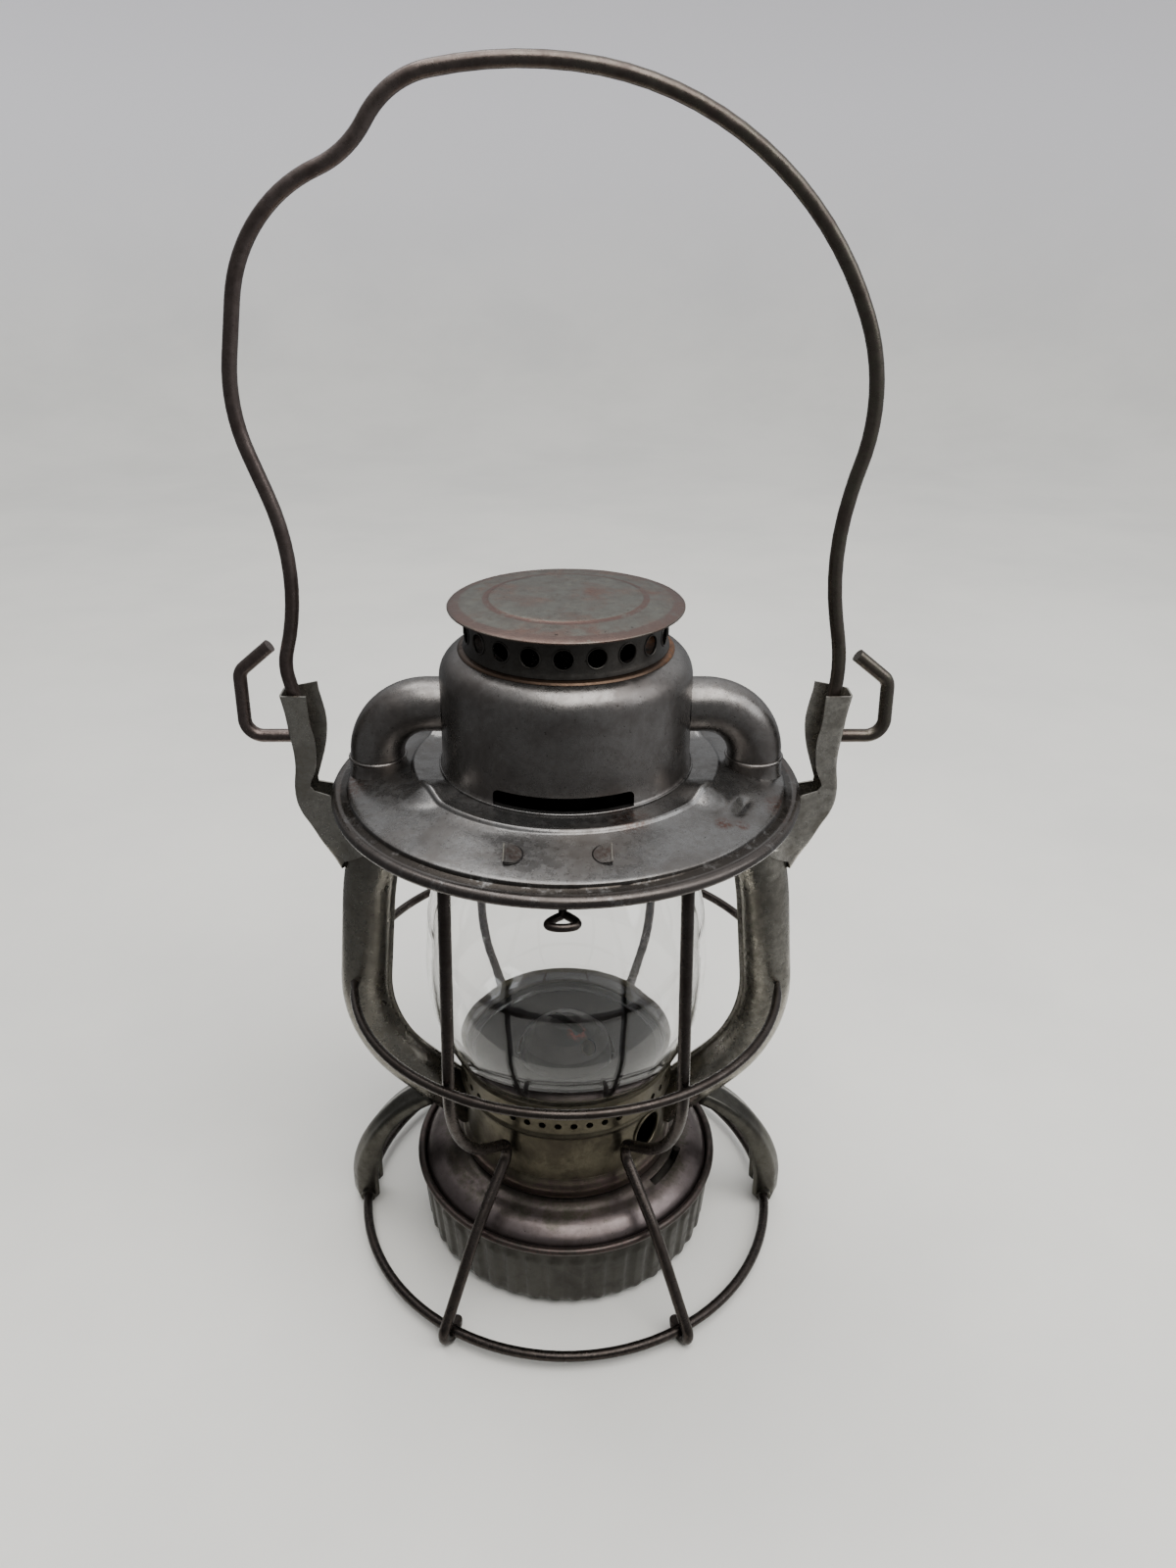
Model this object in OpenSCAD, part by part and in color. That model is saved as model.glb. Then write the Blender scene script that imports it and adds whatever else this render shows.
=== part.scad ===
// Railroad hand lantern: wire guard, side air tubes, hinged hood, barrel globe,
// bayonet oil fount with a flat wick burner, and a carrying bail that locks upright.
// Millimetres, +Z up. The origin is on the table under the lantern's axis and
// the front is at -Y. Angles called azimuths run from the front towards +X.

/* [Sheet metal] */
// Thickness of the tinplate
sheet = 0.6; // [0.4:0.1:0.8]
// Gap between pieces that are seated by hand
seat_gap = 0.3; // [0.2:0.05:0.5]
// Radial clearance of a pin or shaft in its hole
fit_gap = 0.05; // [0.03:0.01:0.09]

/* [Foot ring] */
// Radius of the foot ring's centre line
foot_ring_r = 82.7; // [80:0.1:88]
// Diameter of the foot ring's wire
foot_wire_d = 3.8; // [3:0.1:5]

/* [Wire guard] */
// Diameter of the four guard wires, which run on as legs
guard_wire_d = 4.2; // [3.6:0.1:4.8]
// Azimuth of each guard wire from the front or the back
guard_azimuth = 31; // [28:0.5:36]
// Height of the corner where a guard wire sweeps in under the globe
guard_sweep_z = 85; // [83:0.5:92]
// Bend radius of that corner
guard_sweep_bend = 46; // [28:1:48]
// Height of the corner where a guard wire turns back at the collar
guard_knee_z = 61; // [58:0.5:64]
// Radius from the axis of the leg's bowed corner
leg_bow_r = 64; // [60:1:68]
// Height of the leg's bowed corner
leg_bow_z = 38; // [34:1:40]
// Depth of the flats worn under the legs' curled feet
foot_wear = 0.15; // [0.05:0.05:0.4]
// Radius of the upper guard ring's centre line
upper_ring_r = 68.5; // [66:0.5:70]
// Height of the upper guard ring
upper_ring_z = 194; // [192:0.5:194.5]
// Diameter of the upper guard ring's wire
upper_wire_d = 3.4; // [3:0.1:3.8]
// Radius of the middle guard ring's centre line
mid_ring_r = 79.5; // [78:0.1:81]
// Height of the middle guard ring
mid_ring_z = 116; // [110:1:124]
// Diameter of the middle guard ring's wire
mid_wire_d = 3.4; // [3:0.1:4]

/* [Side tubes] */
// Outer radius of the side air tubes
tube_r = 9; // [8.6:0.1:10]
// Distance of a tube's top end from the axis
tube_top_x = 65.4; // [64:0.1:66]
// Height where the tube's straight part begins at the top
tube_top_z = 195; // [190:1:198]
// Distance of the tube's slight upper bend from the axis
tube_bow_x = 72.9; // [72.4:0.1:73.4]
// Height of that bend
tube_bow_z = 151; // [146:1:156]
// Distance of the tube's lower corner from the axis
tube_corner_x = 79; // [78:0.5:81]
// Height of the tube's lower corner
tube_corner_z = 88.5; // [85:0.5:90]
// Bend radius at that corner
tube_bend = 52; // [44:1:53]
// Height where the tube's centre line meets the collar
tube_foot_z = 53.2; // [52:0.2:55]

/* [Strap legs] */
// Width of the two sheet strap legs
strap_w = 14; // [10:0.5:18]
// Radius of the strap's curve
strap_bend = 52.5; // [48:0.5:56]
// Angle that the curve turns through
strap_turn = 66; // [63:1:68]
// Thickness of the strap
strap_t = 1.2; // [0.8:0.1:1.6]
// Width of the embossed rib
strap_rib_w = 8; // [5:0.5:9]
// Height of the embossed rib
strap_rib_h = 2.4; // [1.4:0.1:3]

/* [Ears] */
// Distance of the ear's outer web from the axis at the pivot
ear_x = 94; // [93:0.5:98]
// Height of the bail's pivot
pivot_z = 213.6; // [212:0.1:216]
// Half width of the trough inside its walls
trough_half = 3.7; // [3:0.1:4.5]
// Thickness of the ear's sheet
ear_t = 0.8; // [0.6:0.1:1]

/* [Bail] */
// Diameter of the bail's wire
bail_wire_d = 4.6; // [4:0.1:5]
// Radial clearance of the wire in the ear's hole
bail_fit = 0.08; // [0.04:0.01:0.1]
// Inset of the bail's leg from the ear's web at the pivot
bail_leg_inset = 5.2; // [4.8:0.1:6]
// Height of the sprung end of each leg above the pivot
bail_spring_h = 26; // [24:1:30]

/* [Hood] */
// Outer radius of the hood's wired rim
hood_r = 81; // [80:0.1:81]
// Radius of the rolled edge
rim_roll_r = 2; // [1.8:0.1:2.2]
// Height of the rolled edge's centre
rim_z = 195.9; // [195:0.1:196.8]
// Radius of the step inside the rim
step_r = 75.2; // [74.6:0.1:75.6]
// Height of the plate at the foot of the drum
plate_top_z = 205.4; // [205:0.1:207]
// Radius of the raised ridge round the drum
ridge_r = 52.6; // [50:0.1:55]
// Azimuth of the four stamped humps from the front or the back
hump_azimuth = 60; // [54:1:64]
// Height of the humps above the plate
hump_h = 3; // [1.5:0.1:4]

/* [Drum] */
// Outer radius of the drum
drum_r = 42.4; // [41:0.1:44]
// Height of the drum's top
drum_top_z = 246.5; // [244:0.1:249]
// Radius of the drum's rounded shoulder
shoulder_r = 9.5; // [8:0.5:12]
// Radius of the mouth in the drum's top
mouth_r = 34.6; // [34.5:0.1:36]
// Width of the air slot in the drum's front foot
slot_w = 45; // [30:1:50]
// Height of the air slot
slot_h = 5.6; // [4:0.1:8]

/* [Elbows] */
// Outer radius of the elbows
elbow_r = 9.3; // [8.6:0.1:10]
// Distance of an elbow's upright part from the axis
elbow_x = 65; // [64:0.1:66]
// Depth of an elbow's level part below the drum's top
elbow_drop = 21.1; // [18:0.1:24]
// Bend radius of the elbow
elbow_bend = 18; // [14:0.5:18.5]
// Height of the ferrule's top edge
ferrule_top_z = 206.8; // [206:0.1:210]

/* [Cap and vent] */
// Outer radius of the perforated band
band_r = 33.5; // [32:0.1:33.8]
// Number of holes in the band
band_holes = 20; // [12:1:22]
// Diameter of the band's holes
band_hole_d = 6.4; // [4:0.1:7]
// Height of the band's row of holes
band_hole_z = 253.6; // [253:0.1:255]
// Radius of the cap
cap_r = 38.9; // [37:0.1:42]
// Height of the cap's edge
cap_edge_z = 261.2; // [259:0.1:263]
// Rise of the cap's middle above its edge
cap_rise = 2.6; // [2:0.1:4]

/* [Globe] */
// Largest outer radius of the globe
globe_r = 52.5; // [48:0.5:54]
// Height of the globe's widest place
globe_waist_z = 120; // [112:1:126]
// Outer radius of the globe's foot
globe_foot_r = 38.4; // [37:0.1:39]
// Outer radius of the globe's top rim
globe_top_r = 32.5; // [31.5:0.1:33.5]
// Height of the globe's top rim
globe_top_z = 188; // [186:0.5:188.5]
// Thickness of the glass
glass_t = 2.2; // [1.8:0.1:3]

/* [Collar and bell] */
// Outer radius of the collar
collar_r = 40; // [39.5:0.1:40.6]
// Outer radius of the perforated gallery at the collar's top
gallery_r = 41; // [40.9:0.1:41.6]
// Height of the gallery's top edge
gallery_top_z = 84.5; // [83:0.5:86]
// Height of the row of small air holes
air_hole_z = 75.3; // [73.5:0.1:76]
// Number of small air holes
air_holes = 44; // [30:1:48]
// Diameter of the small air holes
air_hole_d = 2.6; // [2:0.1:3]
// Height of the bell's top, where the collar stands on it
bell_top_z = 40.2; // [39.6:0.1:41]
// Outer radius of the bell's skirt
bell_r = 57.1; // [56:0.1:57.2]
// Height of the bell skirt's lower edge
bell_foot_z = 26.5; // [26:0.1:29]
// Azimuth of the hole that reaches the wick wheel
reach_azimuth = 51; // [46:1:56]
// Height of that hole
reach_z = 60; // [59:0.5:61]
// Diameter of that hole
reach_d = 15; // [11:0.5:16]

/* [Fount] */
// Radius of the fount's bead at its centre line
fount_bead_r = 59; // [58.8:0.1:60]
// Height of the bead
fount_bead_z = 31.9; // [31:0.1:33]
// Radius of the bead's section
fount_bead_d = 3; // [2.4:0.1:3.6]
// Height of the fount's lowest edge above the table
fount_foot_z = 2.2; // [1.6:0.1:5]
// Number of flutes round the fount
flutes = 44; // [30:1:50]
// Depth of a flute's swell beyond the wall
flute_h = 0.9; // [0.4:0.1:1.2]
// Radius at which the bayonet studs stand
stud_r = 46.2; // [45.8:0.1:48.6]
// Diameter of the bayonet studs
stud_d = 2.4; // [2:0.1:2.6]
// Angle from end to end of each bayonet slot
slot_angle = 28; // [20:1:32]
// Azimuth of the front slot's end where the stud rests
slot_end_azimuth = 74; // [70:1:80]
// Height of the filler's screw cap
filler_cap_h = 3.2; // [2.4:0.1:3.2]

/* [Burner] */
// Width of the flat wick
wick_w = 15; // [12:0.5:16]
// Thickness of the wick
wick_t = 2; // [1.6:0.1:2.4]
// Height of the wick's top
wick_top_z = 89; // [87:0.5:90]
// Radius of the burner's gallery
burner_r = 16; // [15:0.1:16.5]
// Radius of the burner's cone
cone_r = 18; // [17:0.1:18.6]
// Height of the cone's top
cone_top_z = 92; // [91:0.5:96]
// Radius of the spur wheels that lift the wick
spur_r = 4; // [3.4:0.1:4.4]
// Diameter of the wick shaft
wick_shaft_d = 2; // [1.6:0.1:2.4]

/* [Latch] */
// Diameter of the latch wire
latch_wire_d = 2.6; // [2:0.1:2.6]
// Distance of the latch's axle from the axis, towards the front
latch_axle_y = 62; // [60:0.5:64]
// Length of the latch's axle
latch_axle_w = 35; // [28:0.5:36]
// Offset of the latch's axle from the middle, towards the left
latch_shift = 2.5; // [0:0.1:3]
// Radius of the finger eye's centre line
latch_eye_r = 4.2; // [3.6:0.1:5]
// Height of the finger eye
latch_eye_z = 188; // [185:0.5:189]
// Gap between the latch's arm and the rolled rim outside it
latch_rim_gap = 2.1; // [1.9:0.1:2.3]

/* [Hood hinge] */
// Diameter of the hinge pin
hinge_pin_d = 2; // [1.6:0.1:2.2]
// Outer radius of the hinge's knuckles
knuckle_r = 2; // [1.9:0.1:2.2]
// Width of the hood's knuckle
hood_knuckle_w = 8; // [6:0.5:12]
// Width of each of the frame's knuckles
frame_knuckle_w = 6; // [4:0.5:9]

/* [Hidden] */
$fn = 72;
far = 300;
tin = "#6a6762";
tin_dark = "#55504c";
tin_yellow = "#8a8266";
wire_brown = "#4d4640";
plum = "#62534f";
brass = "#9a8450";

// Heights and radii worked out from the driving sizes
foot_ring_z = guard_wire_d + foot_wire_d / 2 + 0.02 - foot_wear;
drum_foot_z = plate_top_z;
rim_r = hood_r - rim_roll_r;
ridge_z = plate_top_z - 0.1;
elbow_z = drum_top_z - elbow_drop;
elbow_start_z = plate_top_z - 17;
tube_bore_r = tube_r - sheet;
elbow_bore_r = elbow_r - sheet;
collar_bore_r = collar_r - sheet;
draft_z = gallery_top_z - 6.5;
globe_foot_z = draft_z + seat_gap;
holder_z = globe_top_z + seat_gap + sheet;
neck_z = drum_top_z + sheet;
fount_wall_r = fount_bead_r - 0.8;
axle_z = plate_top_z - 5.7;
latch_arm_x = -1;
hinge_y = hood_r + knuckle_r + 0.4;
hinge_z = rim_z;
ear_top_z = 229.7;
bail_r = bail_wire_d / 2;

// Unit vector along v
function unit(v) = v / norm(v);
// The vector turned a quarter to the right
function right_of(v) = [v[1], -v[0]];
// Points along an arc from angle a to angle b
function arc(c, r, a, b, n = 6) =
    [for (i = [0:n]) c + r * [cos(a + (b - a) * i / n), sin(a + (b - a) * i / n)]];
// Miter vector at point i of an open outline, towards its right side
function miter(p, i) =
    let (last = len(p) - 1,
         a = unit(i > 0 ? p[i] - p[i - 1] : p[1] - p[0]),
         b = unit(i < last ? p[i + 1] - p[i] : p[last] - p[last - 1]),
         m = right_of(unit(a + b)))
    m / (m * right_of(a));
// Closed outline of a sheet of thickness t that lies on the right of line p
function skin(p, t = sheet) =
    concat(p, [for (i = [len(p) - 1:-1:0]) p[i] + t * miter(p, i)]);
// Height of line p, given left to right, at x
function height_on(p, x, i = 0) =
    i > len(p) - 3 || x < p[i + 1][0]
        ? p[i][1] + (p[i + 1][1] - p[i][1]) * (x - p[i][0]) / (p[i + 1][0] - p[i][0])
        : height_on(p, x, i + 1);
// Point of a smooth curve through p between points i and i + 1
function curve_point(p, i, t) =
    let (a = p[max(i - 1, 0)], b = p[i], c = p[i + 1], d = p[min(i + 2, len(p) - 1)])
    0.5 * (2 * b + (c - a) * t + (2 * a - 5 * b + 4 * c - d) * t * t
        + (3 * b - a - 3 * c + d) * t * t * t);
// Smooth curve through p with n steps between points
function smooth(p, n = 4) =
    concat([for (i = [0:len(p) - 2]) for (k = [0:n - 1]) curve_point(p, i, k / n)],
        [p[len(p) - 1]]);
// Heading of v in degrees, from +Z towards +X
function heading(v) = atan2(v[0], v[1]);
// Angle turned at corner i of p, positive towards +X
function turn_at(p, i) =
    let (a = unit(p[i] - p[i - 1]), b = unit(p[i + 1] - p[i]))
    atan2(a[1] * b[0] - a[0] * b[1], a * b);
// Length that a bend of radius r takes from each side of corner i
function bend_reach(p, i, r) = r * tan(abs(turn_at(p, i)) / 2);
// Point where a line from p touches a circle, on its right seen along the line
function touch(p, c, r) =
    let (v = c - p, d = norm(v), a = heading(v) + asin(r / d), l = sqrt(d * d - r * r))
    p + l * [sin(a), cos(a)];

// A solid of revolution made of sheet that follows a line of [radius, height]
module spun(p, t = sheet) {
    rotate_extrude() polygon(skin(p, t));
}

// A pipe or rod wall: a ring between two radii
module ring(r_out, r_in, h) {
    difference() {
        cylinder(h = h, r = r_out);
        translate([0, 0, -1]) cylinder(h = h + 2, r = r_in);
    }
}

// A ring of round wire
module wire_ring(r, z, d) {
    translate([0, 0, z]) rotate_extrude() translate([r, 0]) circle(d = d, $fn = 32);
}

// A bend of radius b that starts along +Z and turns towards +X. It is a hair
// thinner than the straights and reaches a hair into them, so they join soundly.
module bend(b, angle, r) {
    lap = 0.1 / b * 180 / PI;
    mirror([angle < 0 ? 1 : 0, 0, 0])
        translate([b, 0, 0]) rotate([90, 0, 0]) mirror([1, 0, 0]) rotate([0, 0, -lap])
            rotate_extrude(angle = abs(angle) + 2 * lap)
                translate([b, 0]) circle(r - 0.01, $fn = 32);
}

// A round bar along points [x, z] with the given bend radius at each corner
module bent_bar(p, bends, r) {
    last = len(p) - 1;
    reach = [for (i = [0:last])
        i == 0 || i == last ? 0 : bend_reach(p, i, bends[i - 1])];
    for (i = [0:last - 1]) {
        u = unit(p[i + 1] - p[i]);
        s = p[i] + u * reach[i];
        run = norm(p[i + 1] - p[i]) - reach[i] - reach[i + 1];
        if (run > 0.001)
            translate([s[0], 0, s[1]]) rotate([0, heading(u), 0])
                cylinder(h = run, r = r, $fn = 32);
    }
    for (i = [1:last - 1]) {
        u = unit(p[i] - p[i - 1]);
        s = p[i] - u * reach[i];
        translate([s[0], 0, s[1]]) rotate([0, heading(u), 0])
            bend(bends[i - 1], turn_at(p, i), r);
    }
}

// Copies a child to the other side of the lantern
module other_side(right) {
    mirror([right ? 1 : 0, 0, 0]) children();
}

// Foot ring, which the legs and the strap legs hold off the table
module foot_ring() {
    color(wire_brown) wire_ring(foot_ring_r, foot_ring_z, foot_wire_d);
}

// Wire guard
curl_top = (upper_wire_d + guard_wire_d) / 2 + 0.02;
curl_foot = (foot_wire_d + guard_wire_d) / 2 + 0.02;
guard_top = [upper_ring_r + curl_top, upper_ring_z];
guard_at_mid = mid_ring_r - (mid_wire_d + guard_wire_d) / 2 - 0.1;
guard_sweep = guard_top + (upper_ring_z - guard_sweep_z)
    * [(guard_at_mid - guard_top[0]) / (upper_ring_z - mid_ring_z), -1];
guard_knee = [collar_r + guard_wire_d / 2 - 2.8, guard_knee_z];
leg_bow = [leg_bow_r, leg_bow_z];
foot_centre = [foot_ring_r, foot_ring_z];
leg_touch = touch(leg_bow, foot_centre, -curl_foot);
guard_path = [guard_top, guard_sweep, guard_knee, leg_bow, leg_touch];
guard_bends = [guard_sweep_bend, 6, 90];
curl_top_angle = 235;
curl_foot_angle = 225;

// One guard wire: curled on the upper ring, knee at the collar, curled on the foot ring
module guard_wire(azimuth) {
    color(wire_brown) rotate([0, 0, azimuth - 90]) difference() {
        union() {
            bent_bar(guard_path, guard_bends, guard_wire_d / 2);
            translate([guard_top[0], 0, guard_top[1]])
                rotate([0, heading(guard_top - guard_sweep), 0])
                    bend(curl_top, -curl_top_angle, guard_wire_d / 2);
            translate([leg_touch[0], 0, leg_touch[1]])
                rotate([0, heading(leg_touch - leg_bow), 0])
                    bend(curl_foot, curl_foot_angle, guard_wire_d / 2);
        }
        translate([0, -far / 2, -far]) cube(far);
    }
}

// Half of the middle guard ring, ending on the faces of the side tubes
module guard_ring(front) {
    color(wire_brown) difference() {
        wire_ring(mid_ring_r, mid_ring_z, mid_wire_d);
        translate([-far / 2, front ? 0 : -far, 0]) cube([far, far, far]);
        for (right = [false, true])
            other_side(right) tube_bar(tube_r + 0.05);
    }
}

// Upper guard ring, cut where the side tubes pass
module upper_guard_ring() {
    color(wire_brown) difference() {
        wire_ring(upper_ring_r, upper_ring_z, upper_wire_d);
        for (right = [false, true])
            other_side(right) tube_bar(tube_r + 0.05);
    }
}

// Side tubes
tube_bow_bend = 120;
tube_path = [[-tube_top_x, tube_top_z], [-tube_bow_x, tube_bow_z],
    [-tube_corner_x, tube_corner_z],
    [0, tube_corner_z - (tube_corner_z - tube_foot_z) * tube_corner_x
        / (tube_corner_x - collar_r)]];
tube_rise = unit(tube_path[0] - tube_path[1]);
tube_head = tube_path[0] + tube_rise * 14;

// The left tube as a solid bar of radius r
module tube_bar(r) {
    bent_bar([tube_head, tube_path[1], tube_path[2], tube_path[3]],
        [tube_bow_bend, tube_bend], r);
}

// Hood plate's top surface, from the drum's foot to the rim
plate_line = [[drum_r - 2, plate_top_z], [drum_r + 1.5, plate_top_z],
    [ridge_r, ridge_z], [ridge_r + 1, ridge_z - 0.8], [ridge_r + 4, ridge_z - 1.8],
    [step_r - 9.2, ridge_z - 3.6], [step_r, ridge_z - 5.5],
    [step_r + 0.4, rim_z + 2.5], [rim_r - 0.6, rim_z + rim_roll_r - 0.1]];

// Everything under the hood plate by at least the gap
module under_plate(gap) {
    top = [for (i = [0:len(plate_line) - 1])
        plate_line[i] + (sheet + gap) * miter(plate_line, i)];
    last = top[len(top) - 1];
    rotate_extrude() polygon(concat([[0, 0], [0, plate_top_z - sheet - gap]], top,
        [[far / 2, last[1]], [far / 2, 0]]));
}

// Everything over the hood plate, down to a depth inside its sheet
module over_plate(depth = 0) {
    last = plate_line[len(plate_line) - 1];
    line = [for (p = plate_line) [p[0], p[1] - depth]];
    rotate_extrude() polygon(concat([[0, far], [0, plate_top_z - depth]], line,
        [[far / 2, last[1] - depth], [far / 2, far]]));
}

// Everything inside the collar's outline and a hair round it
module inside_collar() {
    last = len(collar_line) - 1;
    rotate_extrude() polygon(concat([[0, far], [collar_line[0][0] + 0.02, far]],
        [for (p = collar_line) p + [0.02, 0]], [[collar_line[last][0], 0], [0, 0]]));
}

// One air tube from under the hood to the collar
module side_tube(right) {
    color(tin) other_side(right) difference() {
        intersection() {
            tube_bar(tube_r);
            under_plate(seat_gap);
        }
        tube_bar(tube_bore_r);
        inside_collar();
    }
}

// Strap legs
clip_r = foot_wire_d / 2 + strap_t;
strap_foot = [-(foot_ring_r + clip_r - strap_t / 2), foot_ring_z + 1];
strap_start = strap_foot + [0, 5.5];
strap_line = concat([strap_foot],
    arc(strap_start + [strap_bend, 0], strap_bend, 180, 180 - strap_turn, 8));

// Sheet strap from a side tube's bend to a clip on the foot ring
module strap_leg(right) {
    clip_angle = 2 * asin(strap_w / 2 / foot_ring_r);
    color(tin_dark) other_side(right) difference() {
        union() {
            translate([0, strap_w / 2, 0]) rotate([90, 0, 0])
                linear_extrude(strap_w) polygon(skin(strap_line, strap_t));
            translate([0, strap_rib_w / 2, 0]) rotate([90, 0, 0])
                linear_extrude(strap_rib_w)
                    polygon(skin(strap_line, -strap_rib_h));
            rotate([0, 0, 180 - clip_angle / 2]) rotate_extrude(angle = clip_angle)
                translate([foot_ring_r, foot_ring_z]) circle(clip_r, $fn = 32);
        }
        wire_ring(foot_ring_r, foot_ring_z, foot_wire_d + 0.06);
        tube_bar(tube_r + 0.05);
    }
}

// Ears
ear_out_line = [[-ear_x - 2.1, ear_top_z], [-ear_x - 0.9, 223], [-ear_x - 0.2, 216],
    [-ear_x + 0.6, 209], [-ear_x + 0.6, 203], [-ear_x - 0.3, 196], [-ear_x - 0.1, 190],
    [-ear_x + 1.5, 185], [-ear_x + 4, 180.5], [-80.8, 161]];
ear_clear_x = hood_r + 1.2;
ear_rear_edge = [[-85.6, 232.2], [-84.2, 228], [-ear_clear_x, 218.5], [-83.6, 209],
    [-86.2, 198], [-83.4, 190.5]];
ear_front_edge = [[-87, 227.9], [-86.7, 220], [-85.5, 212], [-86.3, 203], [-88.7, 196],
    [-90.2, 190.5]];
ear_foot = [[-82, 189], [-tube_top_x - 4, 189], [-tube_top_x - 8, 166]];

// Outline of one trough wall from its inner edge line
function ear_wall(edge) =
    concat(smooth(ear_out_line, 3), [for (i = [2:-1:0]) ear_foot[i]],
        [for (i = [len(edge) - 1:-1:0]) edge[i]]);

// Ear: a trough of sheet open towards the lantern, with a sleeve round the tube
module ear(right) {
    wall_y = trough_half + ear_t;
    color(tin) other_side(right) difference() {
        union() {
            translate([0, wall_y, 0]) rotate([90, 0, 0])
                linear_extrude(2 * wall_y) polygon(skin(smooth(ear_out_line, 3), -ear_t));
            translate([0, wall_y, 0]) rotate([90, 0, 0])
                linear_extrude(ear_t) polygon(ear_wall(ear_rear_edge));
            translate([0, -trough_half, 0]) rotate([90, 0, 0])
                linear_extrude(ear_t) polygon(ear_wall(ear_front_edge));
            intersection() {
                tube_bar(tube_r + ear_t);
                translate([0, far / 2, 0]) rotate([90, 0, 0]) linear_extrude(far)
                    polygon([[-120, 161], [-81, 161], [-62, 176], [-62, 189], [-120, 189]]);
            }
        }
        tube_bar(tube_r + 0.02);
        translate([-ear_x - 5, 0, pivot_z]) rotate([0, 90, 0])
            cylinder(h = 9, r = bail_r + bail_fit, $fn = 32);
    }
}

// Bail: corners as [inset from the ear's web, height above the pivot] and bends
bail_left = [[0, bail_spring_h], [9.5, 57], [-8.4, 108.5], [1.2, 163.6], [33.4, 176.5],
    [45.5, 194.5], [76.4, 200.1]];
bail_left_bends = [98, 56, 45, 30, 27, 138];
bail_right = [[29.9, 191.5], [-3.5, 112.5], [3.8, 88.3], [9.5, 62.5], [2.3, bail_spring_h]];
bail_right_bends = [105, 64, 47, 98];
bail_path = concat([for (p = bail_left) [p[0] - ear_x, p[1] + pivot_z]],
    [for (p = bail_right) [ear_x - p[0], p[1] + pivot_z]]);
pin_end_x = ear_x - 1.4;
leg_x = ear_x - bail_leg_inset;

// Carrying bail above its sprung ends, with the hanging kink at its left shoulder
module bail() {
    color(wire_brown) bent_bar(bail_path, concat(bail_left_bends, bail_right_bends), bail_r);
}

// Sprung lower ends of the bail, which lie in the ears' troughs
module bail_leg_springs() {
    last = len(bail_path) - 1;
    color(wire_brown) {
        bent_bar([[-pin_end_x, pivot_z], [-leg_x, pivot_z], bail_path[0]], [2.9], bail_r);
        bent_bar([[pin_end_x, pivot_z], [leg_x, pivot_z], bail_path[last]], [2.9], bail_r);
    }
}

// Hooks: corners as [distance outside the ear's web, height above the pivot]
hook_left = [[15.7, 0], [15.3, 23.4], [4.2, 32.6]];
hook_right = [[14.9, 0], [14.2, 20.2], [3, 29.2]];
hook_bends = [6, 5];

// Pins through the ears' webs and the hooks outside that stop the bail pulling out
module bail_hooks() {
    color(wire_brown) {
        bent_bar(concat([[-pin_end_x, pivot_z]],
            [for (p = hook_left) [-ear_x - p[0], pivot_z + p[1]]]), hook_bends, bail_r);
        bent_bar(concat([[pin_end_x, pivot_z]],
            [for (p = hook_right) [ear_x + p[0], pivot_z + p[1]]]), hook_bends, bail_r);
    }
}

// Collar and bell
collar_line = [[gallery_r + 1.4, gallery_top_z], [gallery_r, gallery_top_z - 1.4],
    [gallery_r, 71.4], [gallery_r + 0.6, 70.4], [gallery_r, 69.4], [collar_r, 68.6],
    [collar_r, bell_top_z + 7.8], [collar_r + 1.5, bell_top_z + 6.3],
    [collar_r + 2.2, bell_top_z + 4.2], [collar_r + 2.2, bell_top_z + 1.8],
    [collar_r + 1.2, bell_top_z]];

// Perforated collar that the globe, the tubes and the guard wires meet
module collar() {
    color(tin_yellow) difference() {
        spun(collar_line);
        for (i = [0:air_holes - 1])
            rotate([0, 0, 360 * i / air_holes]) translate([gallery_r - 4, 0, air_hole_z])
                rotate([0, 90, 0]) cylinder(h = 8, d = air_hole_d, $fn = 16);
        for (right = [false, true])
            other_side(right) tube_bar(tube_bore_r);
        rotate([0, 0, reach_azimuth - 90]) translate([collar_r - 10, 0, reach_z])
            rotate([0, 90, 0]) cylinder(h = 20, d = reach_d, $fn = 32);
    }
}

bell_line = [[collar_bore_r - 0.8, bell_top_z], [44, bell_top_z - 0.4],
    [46.5, bell_top_z - 1.4], [50, bell_top_z - 2], [54, bell_top_z - 4.2],
    [bell_r - 0.5, bell_top_z - 7.2], [bell_r, bell_top_z - 9.7], [bell_r, bell_foot_z]];
bell_slot_w = stud_d + 0.5;

// Bell over the fount, with the two bayonet slots
module bell() {
    color(plum) difference() {
        spun(bell_line);
        for (turn = [0, 180])
            rotate([0, 0, turn + slot_end_azimuth - 90 - slot_angle])
                rotate_extrude(angle = slot_angle)
                    translate([stud_r - bell_slot_w / 2, bell_foot_z])
                        square([bell_slot_w, far]);
    }
}

// Plate inside the gallery that carries the globe and lets the burner cone through
module draft_plate() {
    edge = gallery_r - 2 * sheet - 0.05;
    color(tin_dark) spun([[cone_r + 1.2, draft_z], [edge, draft_z], [edge, draft_z + 2]]);
}

// Globe: a barrel of clear glass
globe_line = [[globe_top_r, globe_top_z], [globe_top_r + 1.1, globe_top_z - 6],
    [globe_top_r + 6, globe_top_z - 16], [globe_r - 3.2, globe_waist_z + 32],
    [globe_r - 0.6, globe_waist_z + 14], [globe_r, globe_waist_z],
    [globe_r - 1.6, globe_waist_z - 15], [globe_foot_r + 7.4, globe_foot_z + 12.5],
    [globe_foot_r + 1.4, globe_foot_z + 4.6], [globe_foot_r, globe_foot_z]];
module globe() {
    color("#cfe0dd", 0.35) spun(smooth(globe_line, 4), glass_t);
}

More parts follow.
